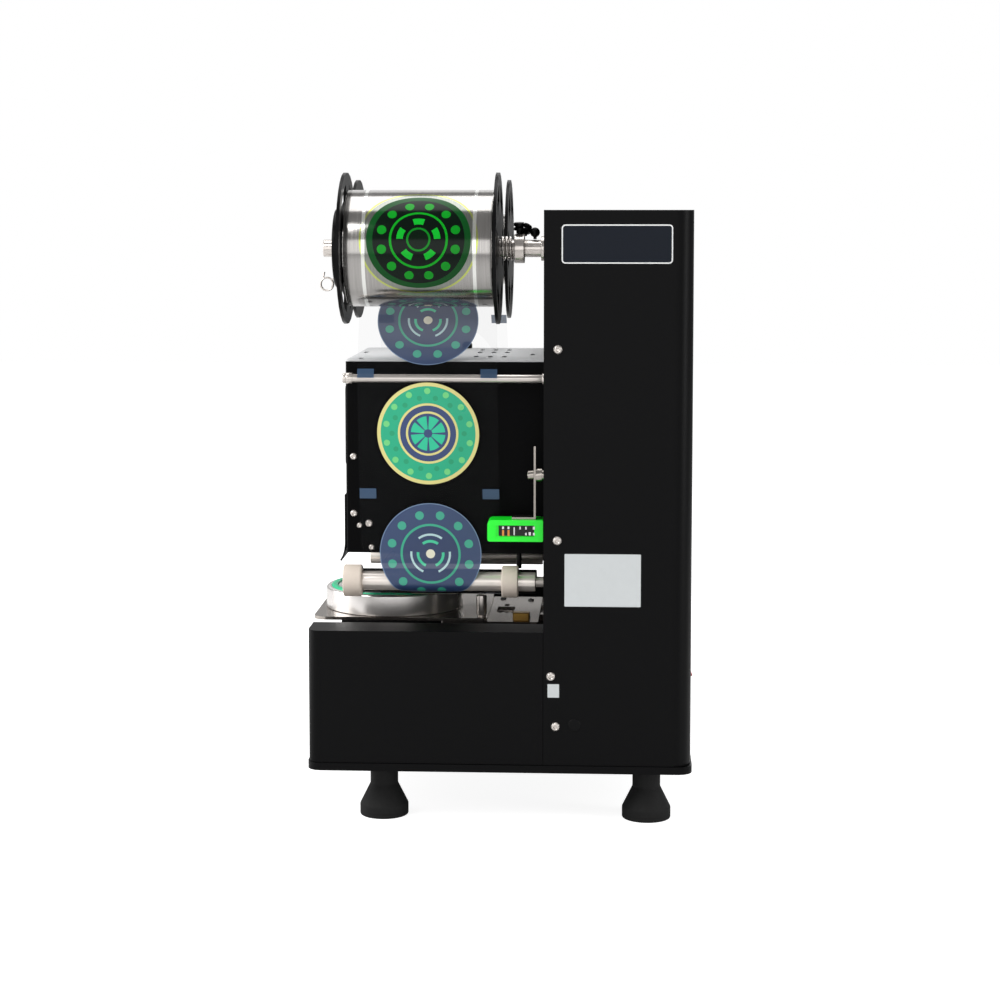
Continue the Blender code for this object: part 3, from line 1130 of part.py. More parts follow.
def make_power_inlet():
    """The mains inlet with its rocker switch above the socket."""
    front = TOWER_DEPTH + GAP
    rear = front + INLET_FLANGE
    half, rise = INLET_WIDTH / 2, INLET_HEIGHT / 2
    outline = rounded(-half, half, INLET_CENTRE - rise, INLET_CENTRE + rise, [3] * 4, 3)
    inlet = new_object("power_inlet", prism(outline, front, rear, "X"), "black_plastic")
    inner, up = half - INLET_EDGE - GAP, rise - INLET_EDGE - GAP
    body = box(TOWER_DEPTH - INLET_DEPTH, front + 1, -inner, inner, INLET_CENTRE - up, INLET_CENTRE + up)
    unite(inlet, helper("inlet_body", body))
    low = INLET_CENTRE - rise + SOCKET_RISE
    high = low + SOCKET_HEIGHT
    across = SOCKET_WIDTH / 2
    slope = across - SOCKET_CUT + 0.5
    socket = [(-across, low), (across, low), (across, high - SOCKET_CUT), (slope, high), (-slope, high)]
    socket.append((-across, high - SOCKET_CUT))
    well_half = SWITCH_HALF_WIDTH + 0.5
    middle = INLET_CENTRE + SWITCH_RISE
    well = rectangle(-well_half, well_half, middle - SWITCH_WELL_HALF, middle + SWITCH_WELL_HALF)
    cut(inlet, helper("socket_hollow", prism(socket, rear - SOCKET_DEPTH, rear + 1, "X")))
    cut(inlet, helper("switch_well", prism(well, rear - SWITCH_WELL_DEPTH, rear + 1, "X")))
    for index, (y, z) in enumerate(PIN_PLACES):
        pin = rectangle(y - PIN_SHEET / 2, y + PIN_SHEET / 2, low + z - PIN_WIDTH / 2, low + z + PIN_WIDTH / 2)
        root = rear - SOCKET_DEPTH - 1
        unite(inlet, helper("inlet_pin_" + str(index), prism(pin, root, root + PIN_LENGTH, "X")))
    make_power_switch(rear)


def make_power_switch(rear):
    """A rocker that leans to its lower side."""
    pivot = (rear - ROCKER_SINK, 0, INLET_CENTRE + SWITCH_RISE)
    outline = [(-ROCKER_BACK, -ROCKER_HALF), (ROCKER_FACE, -ROCKER_HALF), (ROCKER_FACE - ROCKER_DIP, 0)]
    outline += [(ROCKER_FACE, ROCKER_HALF), (-ROCKER_BACK, ROCKER_HALF)]
    shape = prism(outline, -SWITCH_HALF_WIDTH, SWITCH_HALF_WIDTH, "Y")
    rocker = new_object("power_switch", shape, "red_plastic", pivot)
    rocker.rotation_euler = (0, -ROCKER_LEAN, 0)


def centre_on_footprint():
    """Moves everything so that the origin is the middle of the footprint, on the ground."""
    shift = Matrix.Translation(Vector((-FOOTPRINT_MIDDLE * MM, 0, 0)))
    for obj in bpy.data.objects:
        obj.matrix_world = shift @ obj.matrix_world


def main():
    clear_scene()
    make_feet()
    make_bottom_pan()
    make_base_side("base_side_near", -1)
    make_base_side("base_side_far", 1)
    make_channel_end_cover()
    make_tower_cover()
    make_tower_front_plate()
    make_head_cover()
    make_head_top_plate()
    make_front_guard()
    make_control_panel()
    make_drawer_rails()
    make_tray()
    make_cup_ring()
    make_carriage()
    make_drawer_drive()
    make_press()
    make_press_drive()
    make_supply_spool()
    make_supply_shaft()
    make_takeup_spool()
    make_rods_and_rollers()
    make_film_web()
    make_sensor()
    make_control_board()
    make_power_inlet()
    bpy.context.view_layer.update()
    centre_on_footprint()


main()
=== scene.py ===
"""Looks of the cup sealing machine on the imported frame: finishes, printed film, fittings, light and camera.

Lengths are millimetres until a mesh is made. X runs from the cup drawer to the tower, Y across, Z up.
"""

import json
from math import asin, atan2, hypot, pi, radians

import bmesh
import bpy
import numpy as np
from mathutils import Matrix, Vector


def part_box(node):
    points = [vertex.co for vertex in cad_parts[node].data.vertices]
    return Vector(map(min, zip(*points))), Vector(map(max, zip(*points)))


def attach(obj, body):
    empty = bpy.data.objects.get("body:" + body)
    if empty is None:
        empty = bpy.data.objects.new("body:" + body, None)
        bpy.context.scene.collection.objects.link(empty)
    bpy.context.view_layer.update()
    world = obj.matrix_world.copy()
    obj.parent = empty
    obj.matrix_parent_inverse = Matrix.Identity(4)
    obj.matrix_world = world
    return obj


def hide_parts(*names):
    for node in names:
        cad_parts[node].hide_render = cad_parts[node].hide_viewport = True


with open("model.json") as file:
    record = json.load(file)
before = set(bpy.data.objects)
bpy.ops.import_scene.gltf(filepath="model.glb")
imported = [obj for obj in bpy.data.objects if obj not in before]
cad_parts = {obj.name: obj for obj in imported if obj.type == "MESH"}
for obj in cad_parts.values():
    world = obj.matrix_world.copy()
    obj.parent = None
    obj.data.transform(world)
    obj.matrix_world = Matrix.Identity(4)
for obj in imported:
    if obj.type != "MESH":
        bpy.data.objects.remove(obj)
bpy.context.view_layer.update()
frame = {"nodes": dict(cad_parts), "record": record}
MM = 0.001
NODES = frame["nodes"]

# Rolls, rods and rollers of the film's path: axis as (y, z), and radius
SUPPLY_AXIS, SUPPLY_RADIUS = (-100, 531), 53.8
TAKEUP_AXIS, TAKEUP_RADIUS = (100, 527), 35.0
NEAR_ROD_AXIS, FAR_ROD_AXIS, ROD_RADIUS = (-105.5, 410.8), (105.5, 410.8), 3.9
FEED_AXIS, EXIT_AXIS, ROLLER_RADIUS = (-100.7, 220.3), (100.7, 213.1), 8.9
PINCH_AXIS, PINCH_RADIUS = (-74.2, 215.8), 11.6

# Film: half its width, and its middle at the press
FILM_HALF = 65.0
FILM_MIDDLE = -65.0
# How far the middle has moved at the rolls, and the share of that at the rods
ROLL_DRIFT = -6.3
ROD_SHARE = 0.55
# The film's line runs this far outside each round
FILM_CLEARANCE = 0.55

# Print: pitch and radius of the discs, radius of the cut holes, level of the middle disc
PRINT_PITCH = 112.5
PRINT_RADIUS = 47.4
CUT_RADIUS = 53.2
MIDDLE_PRINT_LEVEL = 359.9
# The labels are cut out of the film from this far past the press's middle
CUT_START = 20.0
# Blue marks: from this far off the film's middle to its edge, and half their length
MARK_START, MARK_HALF = 49.5, 4.7
# How much the unprinted film hides of what is behind it
CLEAR_COVER = 0.05
# Middle and turn of the disc on the supply roll
ROLL_PRINT_MIDDLE = -72.2
ROLL_PRINT_TURN = radians(9.6)
# The rings of colour on a label are worked out up to this radius
RING_REACH = 60.0

# Gap between a stuck-on fitting and its panel
SEAT = 0.02
# Facets of the CAD nodes that meet at less than this are shaded as one surface
FACET_CREASE = 38
# Points closer than this, in metres, are merged
WELD = 1e-6


# Shapes, worked out as grids of points

def span(node):
    """Lowest and highest corner of a CAD node in millimetres."""
    low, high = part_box(node)
    return np.array(low) / MM, np.array(high) / MM


def patch(points, around=True, closed=False):
    """Quads (i, j), (i, j + 1), (i + 1, j + 1), (i + 1, j) of a grid. around joins the last column to the
    first, closed the last row to the first."""
    rows, columns = points.shape[:2]
    i = np.arange(rows if closed else rows - 1)[:, None]
    j = np.arange(columns if around else columns - 1)[None, :]
    after_i, after_j = (i + 1) % rows, (j + 1) % columns
    start, after = i * columns, after_i * columns
    corners = (start + j, start + after_j, after + after_j, after + j)
    return points.reshape(-1, 3), np.stack(corners, -1).reshape(-1, 4)


def joined(*shapes):
    """Several shapes as one."""
    points, faces, start = [], [], 0
    for part_points, part_faces in shapes:
        points.append(part_points)
        faces.append(part_faces + start)
        start += len(part_points)
    return np.concatenate(points), np.concatenate(faces)


def eased(corners, radius, steps=4, closed=False):
    """Rounds each corner c between p and q with
    ((1-t)^2 p + 2w t(1-t) c + t^2 q) / ((1-t)^2 + 2w t(1-t) + t^2),
    an exact arc when p and q are radius * tan(turn / 2) from c and w = cos(turn / 2)."""
    c = np.array(corners, float)
    before, after = np.roll(c, 1, 0) - c, np.roll(c, -1, 0) - c
    length_before = np.linalg.norm(before, axis=1, keepdims=True) + 1e-9
    length_after = np.linalg.norm(after, axis=1, keepdims=True) + 1e-9
    before, after = before / length_before, after / length_after
    turn = pi - np.arccos(np.clip((before * after).sum(1, keepdims=True), -1, 1))
    radius = np.broadcast_to(np.array(radius, float), len(c))[:, None]
    shorter = np.minimum(length_before, length_after)
    reach = np.minimum(radius * np.tan(np.minimum(turn, 3.1) / 2), 0.45 * shorter)
    if not closed:
        reach[[0, -1]] = 0
    t = np.linspace(0, 1, steps + 1)[None, :, None]
    p, q, w = (c + before * reach)[:, None], (c + after * reach)[:, None], np.cos(turn / 2)[:, None]
    middle = 2 * w * t * (1 - t)
    curve = ((1 - t) ** 2 * p + middle * c[:, None] + t ** 2 * q) / ((1 - t) ** 2 + middle + t ** 2)
    return curve.reshape(-1, c.shape[1])


# Coordinates across each axis, and the one along it
ACROSS = {"X": (1, 2, 0), "Y": (2, 0, 1), "Z": (0, 1, 2)}


def lathe(profile, axis, centre, segments=96, closed=False):
    """Ring points centre + h along the axis + r (cos a, sin a) across it, for each (r, h) of the profile."""
    r, h = np.array(profile, float).T
    a = np.arange(segments) * 2 * pi / segments
    first, second, along = ACROSS[axis]
    points = np.empty((len(h), segments, 3))
    points[..., first] = r[:, None] * np.cos(a)
    points[..., second] = r[:, None] * np.sin(a)
    points[..., along] = h[:, None]
    return patch(points + np.array(centre, float), True, closed)


def slab(outline, low, high, axis, edge):
    """A flat plate with a convex outline of (u, v) points across the axis. The rims shrink towards the middle
    by edge, or by a third of the thickness where that is less."""
    outline = np.array(outline, float)
    edge = min(edge, (high - low) / 3)
    middle = outline.mean(0)
    reach = outline - middle
    inward = 1 - edge / np.maximum(np.abs(reach).max(0), 1e-6)
    levels = ((low, 0.0), (low, inward), (low + edge, 1.0),
              (high - edge, 1.0), (high, inward), (high, 0.0))
    first, second, along = {"Y": (0, 2, 1), "Z": (0, 1, 2)}[axis]
    points = np.empty((len(levels), len(outline), 3))
    for row, (level, share) in enumerate(levels):
        points[row, :, [first, second]] = (middle + reach * share).T
        points[row, :, along] = level
    return patch(points)


def plate(u, v, low, high, radius, axis="Y", edge=0.1):
    """A rectangular plate with rounded corners."""
    corners = [(u[0], v[0]), (u[1], v[0]), (u[1], v[1]), (u[0], v[1])]
    return slab(eased(corners, radius, 6, True), low, high, axis, edge)


def tube(path, radius, side, sides=14):
    """Rings centre + radius (cos a n + sin a b), with t the path's direction, n = t x side and b = t x n.
    Both ends close in a point."""
    path = np.array(path, float)
    t = np.gradient(path, axis=0)
    t /= np.linalg.norm(t, axis=1, keepdims=True)
    n = np.cross(t, np.array(side, float))
    n /= np.linalg.norm(n, axis=1, keepdims=True)
    b = np.cross(t, n)
    a = np.arange(sides) * 2 * pi / sides
    swing = np.cos(a)[None, :, None] * n[:, None] + np.sin(a)[None, :, None] * b[:, None]
    first, last = (np.repeat(path[[index]], sides, 0)[None] for index in (0, -1))
    return patch(np.concatenate([first, path[:, None] + radius * swing, last]))


def screw_head(at, axis, way, radius):
    """A low domed head with a socket in it, on the point at, facing along the axis in the direction way."""
    r = radius
    profile = [(0, 0.2 * r), (0.42 * r, 0.2 * r), (0.46 * r, 0.62 * r), (0.75 * r, 0.5 * r),
               (0.97 * r, 0.22 * r), (r, 0), (0, 0)]
    profile = eased(profile, 0.08 * r, 3)
    profile[:, 1] *= way
    return lathe(profile, axis, at, 32)


# Finishes

def linear(colour):
    """An sRGB hex colour as linear RGBA."""
    parts = np.array([int(colour[start:start + 2], 16) for start in (1, 3, 5)]) / 255
    return (*np.where(parts <= 0.04045, parts / 12.92, ((parts + 0.055) / 1.055) ** 2.4), 1.0)


def add(tree, kind, values=(), out=0, **settings):
    """Adds a shader node, sets or links its inputs and returns one of its outputs."""
    node = tree.nodes.new("ShaderNode" + kind)
    for key, value in settings.items():
        setattr(node, key, value)
    for key, value in dict(values).items():
        if isinstance(value, bpy.types.NodeSocket):
            tree.links.new(value, node.inputs[key])
        else:
            node.inputs[key].default_value = value
    return node.outputs[out]


def finish(name, colour, roughness, grain, uneven, relief, shade=0.85, stretch=(1, 1, 1), **inputs):
    """A Principled finish. Noise in object coordinates, grain mm wide and stretched by axis, varies colour,
    roughness and a relief in mm."""
    material = bpy.data.materials.new(name)
    material.use_nodes = True
    tree = material.node_tree
    shader = tree.nodes["Principled BSDF"]
    place = add(tree, "TexCoord", out="Object")
    scale = tuple(1 / (MM * grain * part) for part in stretch)
    place = add(tree, "Mapping", {"Vector": place, "Scale": scale})
    noise = add(tree, "TexNoise", {"Vector": place, "Scale": 1.0, "Detail": 3.0})
    full = linear(colour)
    dark = tuple(part * shade for part in full[:3]) + (1.0,)
    mixed = add(tree, "Mix", {0: noise, 6: dark, 7: full}, 2, data_type="RGBA")
    tree.links.new(mixed, shader.inputs["Base Color"])
    smoothest, roughest = roughness - uneven, roughness + uneven
    rough = add(tree, "MapRange", {"Value": noise, "To Min": smoothest, "To Max": roughest})
    tree.links.new(rough, shader.inputs["Roughness"])
    if relief:
        bump = add(tree, "Bump", {"Height": noise, "Distance": relief * MM, "Strength": 1.0})
        tree.links.new(bump, shader.inputs["Normal"])
    for key, value in inputs.items():
        shader.inputs[key.replace("_", " ")].default_value = value
    return material


# Powder coat: fine orange peel, so that the large panels stay near black with soft highlights
powder_coat = finish("black_powder_coat", "#0a0a0b", 0.40, 1.1, 0.05, 0.006, Specular_IOR_Level=0.07)
# Smoother coat of the head, which stays nearly black beside the tower
smooth_coat = finish("smooth_black_coat", "#050506", 0.42, 1.1, 0.05, 0.004, Specular_IOR_Level=0.04)
# Moulded rubber: dull, slightly dusty black of the feet and the pinch roller
moulded_rubber = finish("moulded_black_rubber", "#131313", 0.72, 2.5, 0.08, 0.02, Specular_IOR_Level=0.25)
# Injection-moulded black plastic: spool flanges and knobs, smoother than the coat
black_plastic = finish("moulded_black_plastic", "#070708", 0.33, 2.0, 0.05, 0.004, Specular_IOR_Level=0.1)
# Ground stainless sheet: the grain runs along the machine
ground_steel = finish("ground_stainless_sheet", "#b3aca5", 0.2, 0.35, 0.07, 0.002, 0.8, (60, 1, 1),
                      Metallic=1.0)
# Turned stainless: smooth rings round Z, so that the cup ring shows broad upright bands
turned_steel = finish("turned_stainless", "#e2dedb", 0.25, 0.6, 0.03, 0.0, 0.95, (60, 60, 1), Metallic=0.7)
# Polished shafts and rods: rings round X
polished_steel = finish("polished_shaft_steel", "#d8d1cb", 0.2, 0.4, 0.05, 0.002, 0.88, (1, 40, 40),
                        Metallic=0.72)
# Ground rollers: softer and brighter than the shafts
roller_steel = finish("ground_roller_steel", "#e8e0d9", 0.26, 1.5, 0.01, 0.0, 0.98, (1, 20, 20), Metallic=0.5)
# Pale grey paint of the head's top plate, plain and matt
pale_paint = finish("pale_grey_paint", "#cdcecf", 0.5, 3.0, 0.05, 0.004, 0.95)
# Zinc-plated sheet and motor cases: a cloudy pale grey
zinc_plate = finish("zinc_plated_sheet", "#a9a9a9", 0.42, 4.0, 0.08, 0.004, 0.85, Metallic=1.0)
# Cream rubber of the feed rings: soft and matt
cream_rubber = finish("cream_rubber", "#d8cbbe", 0.6, 2.0, 0.06, 0.02, 0.93)
# Silicone gasket: saturated teal with a soft sheen
teal_silicone = finish("teal_silicone", "#10be87", 0.45, 2.0, 0.05, 0.01, 0.9)
# Bright green moulded sensor case
green_plastic = finish("green_moulded_case", "#10f52a", 0.35, 2.0, 0.04, 0.005, 0.95)
# Red switch and button plastic
red_plastic = finish("red_moulded_plastic", "#b3201f", 0.3, 2.0, 0.04, 0.005, 0.92)
# Coated circuit board
board_coat = finish("coated_board", "#1d6b3c", 0.4, 3.0, 0.06, 0.01, 0.85)
# White print and paint
white_print = finish("white_print", "#e9eae9", 0.5, 3.0, 0.05, 0.0, 0.96)
# Plain paper of the bare labels, slightly grey
label_paper = finish("bare_label_paper", "#c9cdce", 0.5, 6.0, 0.05, 0.005, 0.95)
# Enamelled name plate, dark blue-grey
plate_enamel = finish("dark_plate_enamel", "#131821", 0.3, 3.0, 0.04, 0.002, 0.92, Specular_IOR_Level=0.1)
# Brass block on the carriage
cast_brass = finish("cast_brass", "#a98545", 0.4, 1.5, 0.08, 0.02, 0.75, Metallic=1.0)
# Dark window of the sensor, glossy
dark_window = finish("dark_glossy_window", "#07090a", 0.15, 3.0, 0.03, 0.0, 0.95)
# Orange indicator print
orange_print = finish("orange_print", "#d98a35", 0.5, 3.0, 0.03, 0.0, 0.95)

# Finish of a CAD node by its material slot, and of the nodes that have one of their own
SLOTS = {"black_coat": powder_coat, "steel": ground_steel, "bright_steel": polished_steel, "zinc": zinc_plate,
         "rubber": moulded_rubber, "cream_rubber": cream_rubber, "teal_silicone": teal_silicone,
         "black_plastic": black_plastic, "green_plastic": green_plastic, "film": white_print,
         "board": board_coat, "red_plastic": red_plastic}
OWN_FINISH = {"head_top_plate": pale_paint, "head_cover": smooth_coat, "front_guard": smooth_coat}


def dress_frame():
    """Gives every CAD node its finish, welds its facets' shared edges and shades the shallow ones smooth."""
    for row in frame["record"]["subparts"]:
        node = NODES[row["node"]]
        mesh = node.data
        mesh.materials.clear()
        mesh.materials.append(OWN_FINISH.get(row["node"], SLOTS[row["material_slot"]]))
        mesh.shade_smooth()
        weld = node.modifiers.new("weld", "WELD")
        weld.merge_threshold = WELD
        split = node.modifiers.new("crease", "EDGE_SPLIT")
        split.split_angle = radians(FACET_CREASE)
        even = node.modifiers.new("even_shading", "WEIGHTED_NORMAL")
        even.weight = 100


def piece(name, shape, material, body, slot, *stands_for, crease=32, uv=None):
    """Makes one mesh object from a shape in millimetres, on its body. Edges sharper than crease degrees stay
    sharp. uv is one pair for each point."""
    points, faces = shape
    mesh = bpy.data.meshes.new(name)
    mesh.from_pydata((points * MM).tolist(), [], faces.tolist())
    if uv is not None:
        layer = mesh.uv_layers.new(name="FilmPlace")
        corners = np.empty(len(mesh.loops), np.int32)
        mesh.loops.foreach_get("vertex_index", corners)
        layer.data.foreach_set("uv", np.asarray(uv, np.float32)[corners].ravel())
    else:
        solid = bmesh.new()
        solid.from_mesh(mesh)
        bmesh.ops.remove_doubles(solid, verts=solid.verts, dist=WELD)
        bmesh.ops.recalc_face_normals(solid, faces=solid.faces)
        solid.to_mesh(mesh)
        solid.free()
    mesh.shade_smooth()
    mesh.set_sharp_from_angle(angle=radians(crease))
    mesh.materials.append(material)
    made = bpy.data.objects.new(name, mesh)
    bpy.context.scene.collection.objects.link(made)
    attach(made, body)
    if stands_for:
        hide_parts(*stands_for)


# Feet and drawer

def make_feet():
    """Four turned feet with a tapered skirt under a short neck."""
    for place in ("front_near", "front_far", "rear_near", "rear_far"):
        low, high = span("rubber_foot_" + place)
        middle = ((low[0] + high[0]) / 2, (low[1] + high[1]) / 2, 0)
        r = (high[0] - low[0]) / 2
        profile = [(0, 0), (r, 0), (r, 10.5), (13, 30), (13, high[2]), (0, high[2])]
        shape = lathe(eased(profile, [0, 1.5, 3, 4, 1, 0]), "Z", middle)
        piece("foot_" + place, shape, moulded_rubber, "housing", "rubber", "rubber_foot_" + place)


def make_cup_ring():
    """The turned ring with a groove in its top, the gasket in the groove and the insert in the bore."""
    low, high = span("cup_ring")
    middle = ((low[0] + high[0]) / 2, 0, 0)
    base, top = low[2], high[2]
    groove = top - 3.8
    profile = [(51.3, base), (67, base), (67, top), (62.1, top), (62.1, groove), (55.4, groove),
               (55.4, top - 0.2), (51.3, top - 0.2)]
    shape = lathe(eased(profile, [0.3, 0.6, 3.5, 0.3, 0.2, 0.2, 0.3, 0.3], 6, True), "Z", middle, 160, True)
    piece("turned_cup_ring", shape, turned_steel, "drawer", "bright_steel", "cup_ring")
    low, high = span("ring_gasket")
    profile = [(55.7, low[2]), (61.8, low[2]), (61.8, high[2]), (55.7, high[2])]
    shape = lathe(eased(profile, [0.2, 0.2, 1.4, 1.4], 5, True), "Z", middle, 160, True)
    piece("silicone_ring_gasket", shape, teal_silicone, "drawer", "teal_silicone", "ring_gasket")
    low, high = span("cup_insert")
    top = high[2]
    profile = [(45.5, low[2]), (51, low[2]), (51, top), (47.8, top), (47.8, top - 1.9), (45.5, top - 2.5)]
    shape = lathe(eased(profile, [0.3, 0.3, 0.7, 0.4, 0.3, 0.5], 4, True), "Z", middle, 160, True)
    piece("moulded_cup_insert", shape, black_plastic, "drawer", "black_plastic", "cup_insert")


def make_drawer_fittings():
    """Latch roller, brass block and screws on the carriage plate."""
    top = span("drawer_carriage")[1][2] + 0.1
    profile = [(0, top), (5.6, top), (5.6, top + 3), (4.2, top + 3.4), (4.2, top + 5), (5, top + 5.4),
               (5, 200), (4, 200.6), (2.4, 200.8), (0, 200.8)]
    shape = lathe(eased(profile, 0.5, 3), "Z", (-21, -60, 0), 48)
    piece("carriage_latch_roller", shape, polished_steel, "drawer", "bright_steel")
    block = plate((8.8, 25), (-64.5, -55.5), top, 184, 1.5, "Z", 0.6)
    piece("carriage_brass_block", block, cast_brass, "drawer", "steel")
    spots = ((-33, 48), (-33, -30), (22, 48), (22, -42), (-6, 55))
    heads = [screw_head((x, y, top), "Z", 1, 3.2) for x, y in spots]
    piece("carriage_screws", joined(*heads), zinc_plate, "drawer", "zinc")


# Spools and film

def make_spool_parts():
    """The supply spool's hub disc, the shaft through it and the brake's collar, turned round its axis."""
    axis = (0, *SUPPLY_AXIS)
    low, high = span("supply_hub_disc")
    profile = [(8.3, high[0]), (8.3, low[0]), (36.5, low[0]), (36.5, high[0])]
    shape = lathe(eased(profile, [0.2, 0.6, 1.2, 0.2], 4, True), "X", axis, 120, True)
    piece("supply_hub_disc_face", shape, black_plastic, "supply_spool", "black_plastic", "supply_hub_disc")
    low, high = span("supply_shaft")
    profile = [(0, low[0]), (8, low[0]), (8, 36.8), (11.5, 36.8), (11.5, 40.5), (8, 40.5),
               (8, high[0]), (0, high[0])]
    shape = lathe(eased(profile, [0, 1, 0.2, 0.5, 0.2, 0.2, 0.5, 0], 4), "X", axis, 64)
    piece("supply_shaft_turned", shape, polished_steel, "housing", "bright_steel", "supply_shaft")
    low, high = span("brake_collar")
    r = (high[2] - low[2]) / 2
    profile = [(8.3, low[0]), (r, low[0]), (r, high[0]), (8.3, high[0])]
    shape = lathe(eased(profile, 0.7, 4, True), "X", axis, 96, True)
    piece("brake_collar_turned", shape, polished_steel, "housing", "bright_steel", "brake_collar")


def make_spring_and_clip():
    """Round wire on helices: centre + radius (cos a, sin a) across the axis, moving evenly along it."""
    low, high = span("brake_spring")
    (y, z), radius, wire, turns = SUPPLY_AXIS, 9.9, 1.2, 3
    turn = np.linspace(0, turns, 145)
    x = low[0] + wire + (high[0] - low[0] - 2 * wire) * turn / turns
    coil = np.stack([x, y + radius * np.cos(2 * pi * turn), z + radius * np.sin(2 * pi * turn)], -1)
    shape = tube(coil, wire, (1, 0, 0))
    piece("brake_coil_spring", shape, polished_steel, "housing", "bright_steel", "brake_spring")
    radius, wire, pitch = 5.9, 0.9, 2.1
    x, y, z = span("retaining_clip")[0][0] + wire + radius, -106.0, 498.0
    turn = np.linspace(0, 1.75, 100)
    angle = pi / 4 - 2 * pi * turn
    coil = np.stack([x + radius * np.cos(angle), y + pitch * turn, z + radius * np.sin(angle)], -1)
    start = (span("supply_hub_disc")[0][0] - 0.3, y, z + 4.5)
    end = coil[-1] + (1.5, 0.5, 7.0)
    shape = tube(np.concatenate([[start], coil, [end]]), wire, (0, 1, 0))
    piece("retaining_clip_wire", shape, polished_steel, "supply_spool", "bright_steel", "retaining_clip")


def make_rods_and_rollers():
    """Guide rods with their collars, the three rollers on stepped shafts, and the two feed rings."""
    tower = span("tower_front_plate")[0][0]
    for name in ("near", "far"):
        low, high = span("guide_rod_" + name)
        middle = (0, (low[1] + high[1]) / 2, (low[2] + high[2]) / 2)
        shoulder = low[0] + 3
        profile = [(0, low[0]), (4.7, low[0]), (4.7, shoulder), (ROD_RADIUS, shoulder),
                   (ROD_RADIUS, high[0]), (0, high[0])]
        rod = lathe(eased(profile, [0, 0.6, 0.3, 0.2, 0.2, 0], 4), "X", middle, 48)
        piece("guide_rod_turned_" + name, rod, polished_steel, "housing", "bright_steel", "guide_rod_" + name)
        collars = []
        for start, end in ((shoulder + 0.1, shoulder + 6), (tower - 2.6, tower - 0.2)):
            profile = [(4.1, start), (5.1, start), (5.1, end), (4.1, end)]
            collars.append(lathe(eased(profile, 0.3, 3, True), "X", middle, 48, True))
        piece("guide_rod_collars_" + name, joined(*collars), polished_steel, "housing", "bright_steel")
    for name, material, slot in (("feed_roller", roller_steel, "bright_steel"),
                                 ("pinch_roller", moulded_rubber, "rubber"),
                                 ("exit_roller", roller_steel, "bright_steel")):
        low, high = span(name)
        middle = (0, (low[1] + high[1]) / 2, (low[2] + high[2]) / 2)
        r = (high[1] - low[1]) / 2
        profile = [(0, low[0]), (r, low[0]), (r, 32.1), (5, 32.1), (5, high[0]), (0, high[0])]
        shape = lathe(eased(profile, [0, 0.8, 0.6, 0.2, 0.3, 0], 4), "X", middle, 64)
        piece(name + "_turned", shape, material, name + "_set", slot, name)
    for end in ("front", "rear"):
        node = "feed_ring_" + end
        low, high = span(node)
        profile = [(9.2, low[0]), (14.9, low[0]), (14.9, high[0]), (9.2, high[0])]
        shape = lathe(eased(profile, [0.4, 1.4, 1.4, 0.4], 5, True), "X", (0, *FEED_AXIS), 96, True)
        piece("feed_ring_moulded_" + end, shape, cream_rubber, "feed_roller_set", "cream_rubber", node)


def film_place(tree):
    """Across and along the film in mm, from the film's own coordinates."""
    place = add(tree, "UVMap", uv_map="FilmPlace")
    node = tree.nodes.new("ShaderNodeSeparateXYZ")
    tree.links.new(place, node.inputs[0])
    return node.outputs[0], node.outputs[1]


def maths(tree, kind, *values):
    """The result of one Math node on numbers or other nodes' outputs."""
    return add(tree, "Math", dict(enumerate(values)), operation=kind)


def band(tree, value, low, high):
    """1 where the value is between low and high."""
    middle, half = (low + high) / 2, (high - low) / 2
    return maths(tree, "COMPARE", value, middle, half)


def dots(tree, radius, angle, count, at, size):
    """1 within size of the nearest of count even places on a circle of radius at."""
    share = maths(tree, "FRACT", maths(tree, "MULTIPLY_ADD", angle, count / (2 * pi), 100.0))
    aside = maths(tree, "MULTIPLY", maths(tree, "SUBTRACT", share, 0.5), 2 * pi * at / count)
    out = maths(tree, "SUBTRACT", radius, at)
    squares = maths(tree, "ADD", maths(tree, "MULTIPLY", aside, aside), maths(tree, "MULTIPLY", out, out))
    return maths(tree, "LESS_THAN", squares, size ** 2)


def paint(tree, under, colour, mask):
    """A flat colour over another where the mask is 1."""
    return add(tree, "Mix", {0: mask, 6: under, 7: linear(colour)}, 2, data_type="RGBA")


def rings(tree, radius, colours):
    """Flat rings of colour. colours are (outer radius, hex), from the middle out to RING_REACH."""
    ramp = tree.nodes.new("ShaderNodeValToRGB")
    ramp.color_ramp.interpolation = "CONSTANT"
    steps = ramp.color_ramp.elements
    steps[0].color = linear(colours[0][1])
    steps[1].position = colours[0][0] / RING_REACH
    steps[1].color = linear(colours[1][1])
    for (start, _), (_, colour) in zip(colours[1:], colours[2:]):
        steps.new(start / RING_REACH).color = linear(colour)
    tree.links.new(maths(tree, "DIVIDE", radius, RING_REACH), ramp.inputs[0])
    return ramp.outputs[0]


def length(tree, a, b):
    """Square root of a^2 + b^2."""
    squares = maths(tree, "ADD", maths(tree, "MULTIPLY", a, a), maths(tree, "MULTIPLY", b, b))
    return maths(tree, "SQRT", squares)


def wave(tree, angle, count):
    """A sine with count periods to a turn."""
    return maths(tree, "SINE", maths(tree, "MULTIPLY", angle, count))


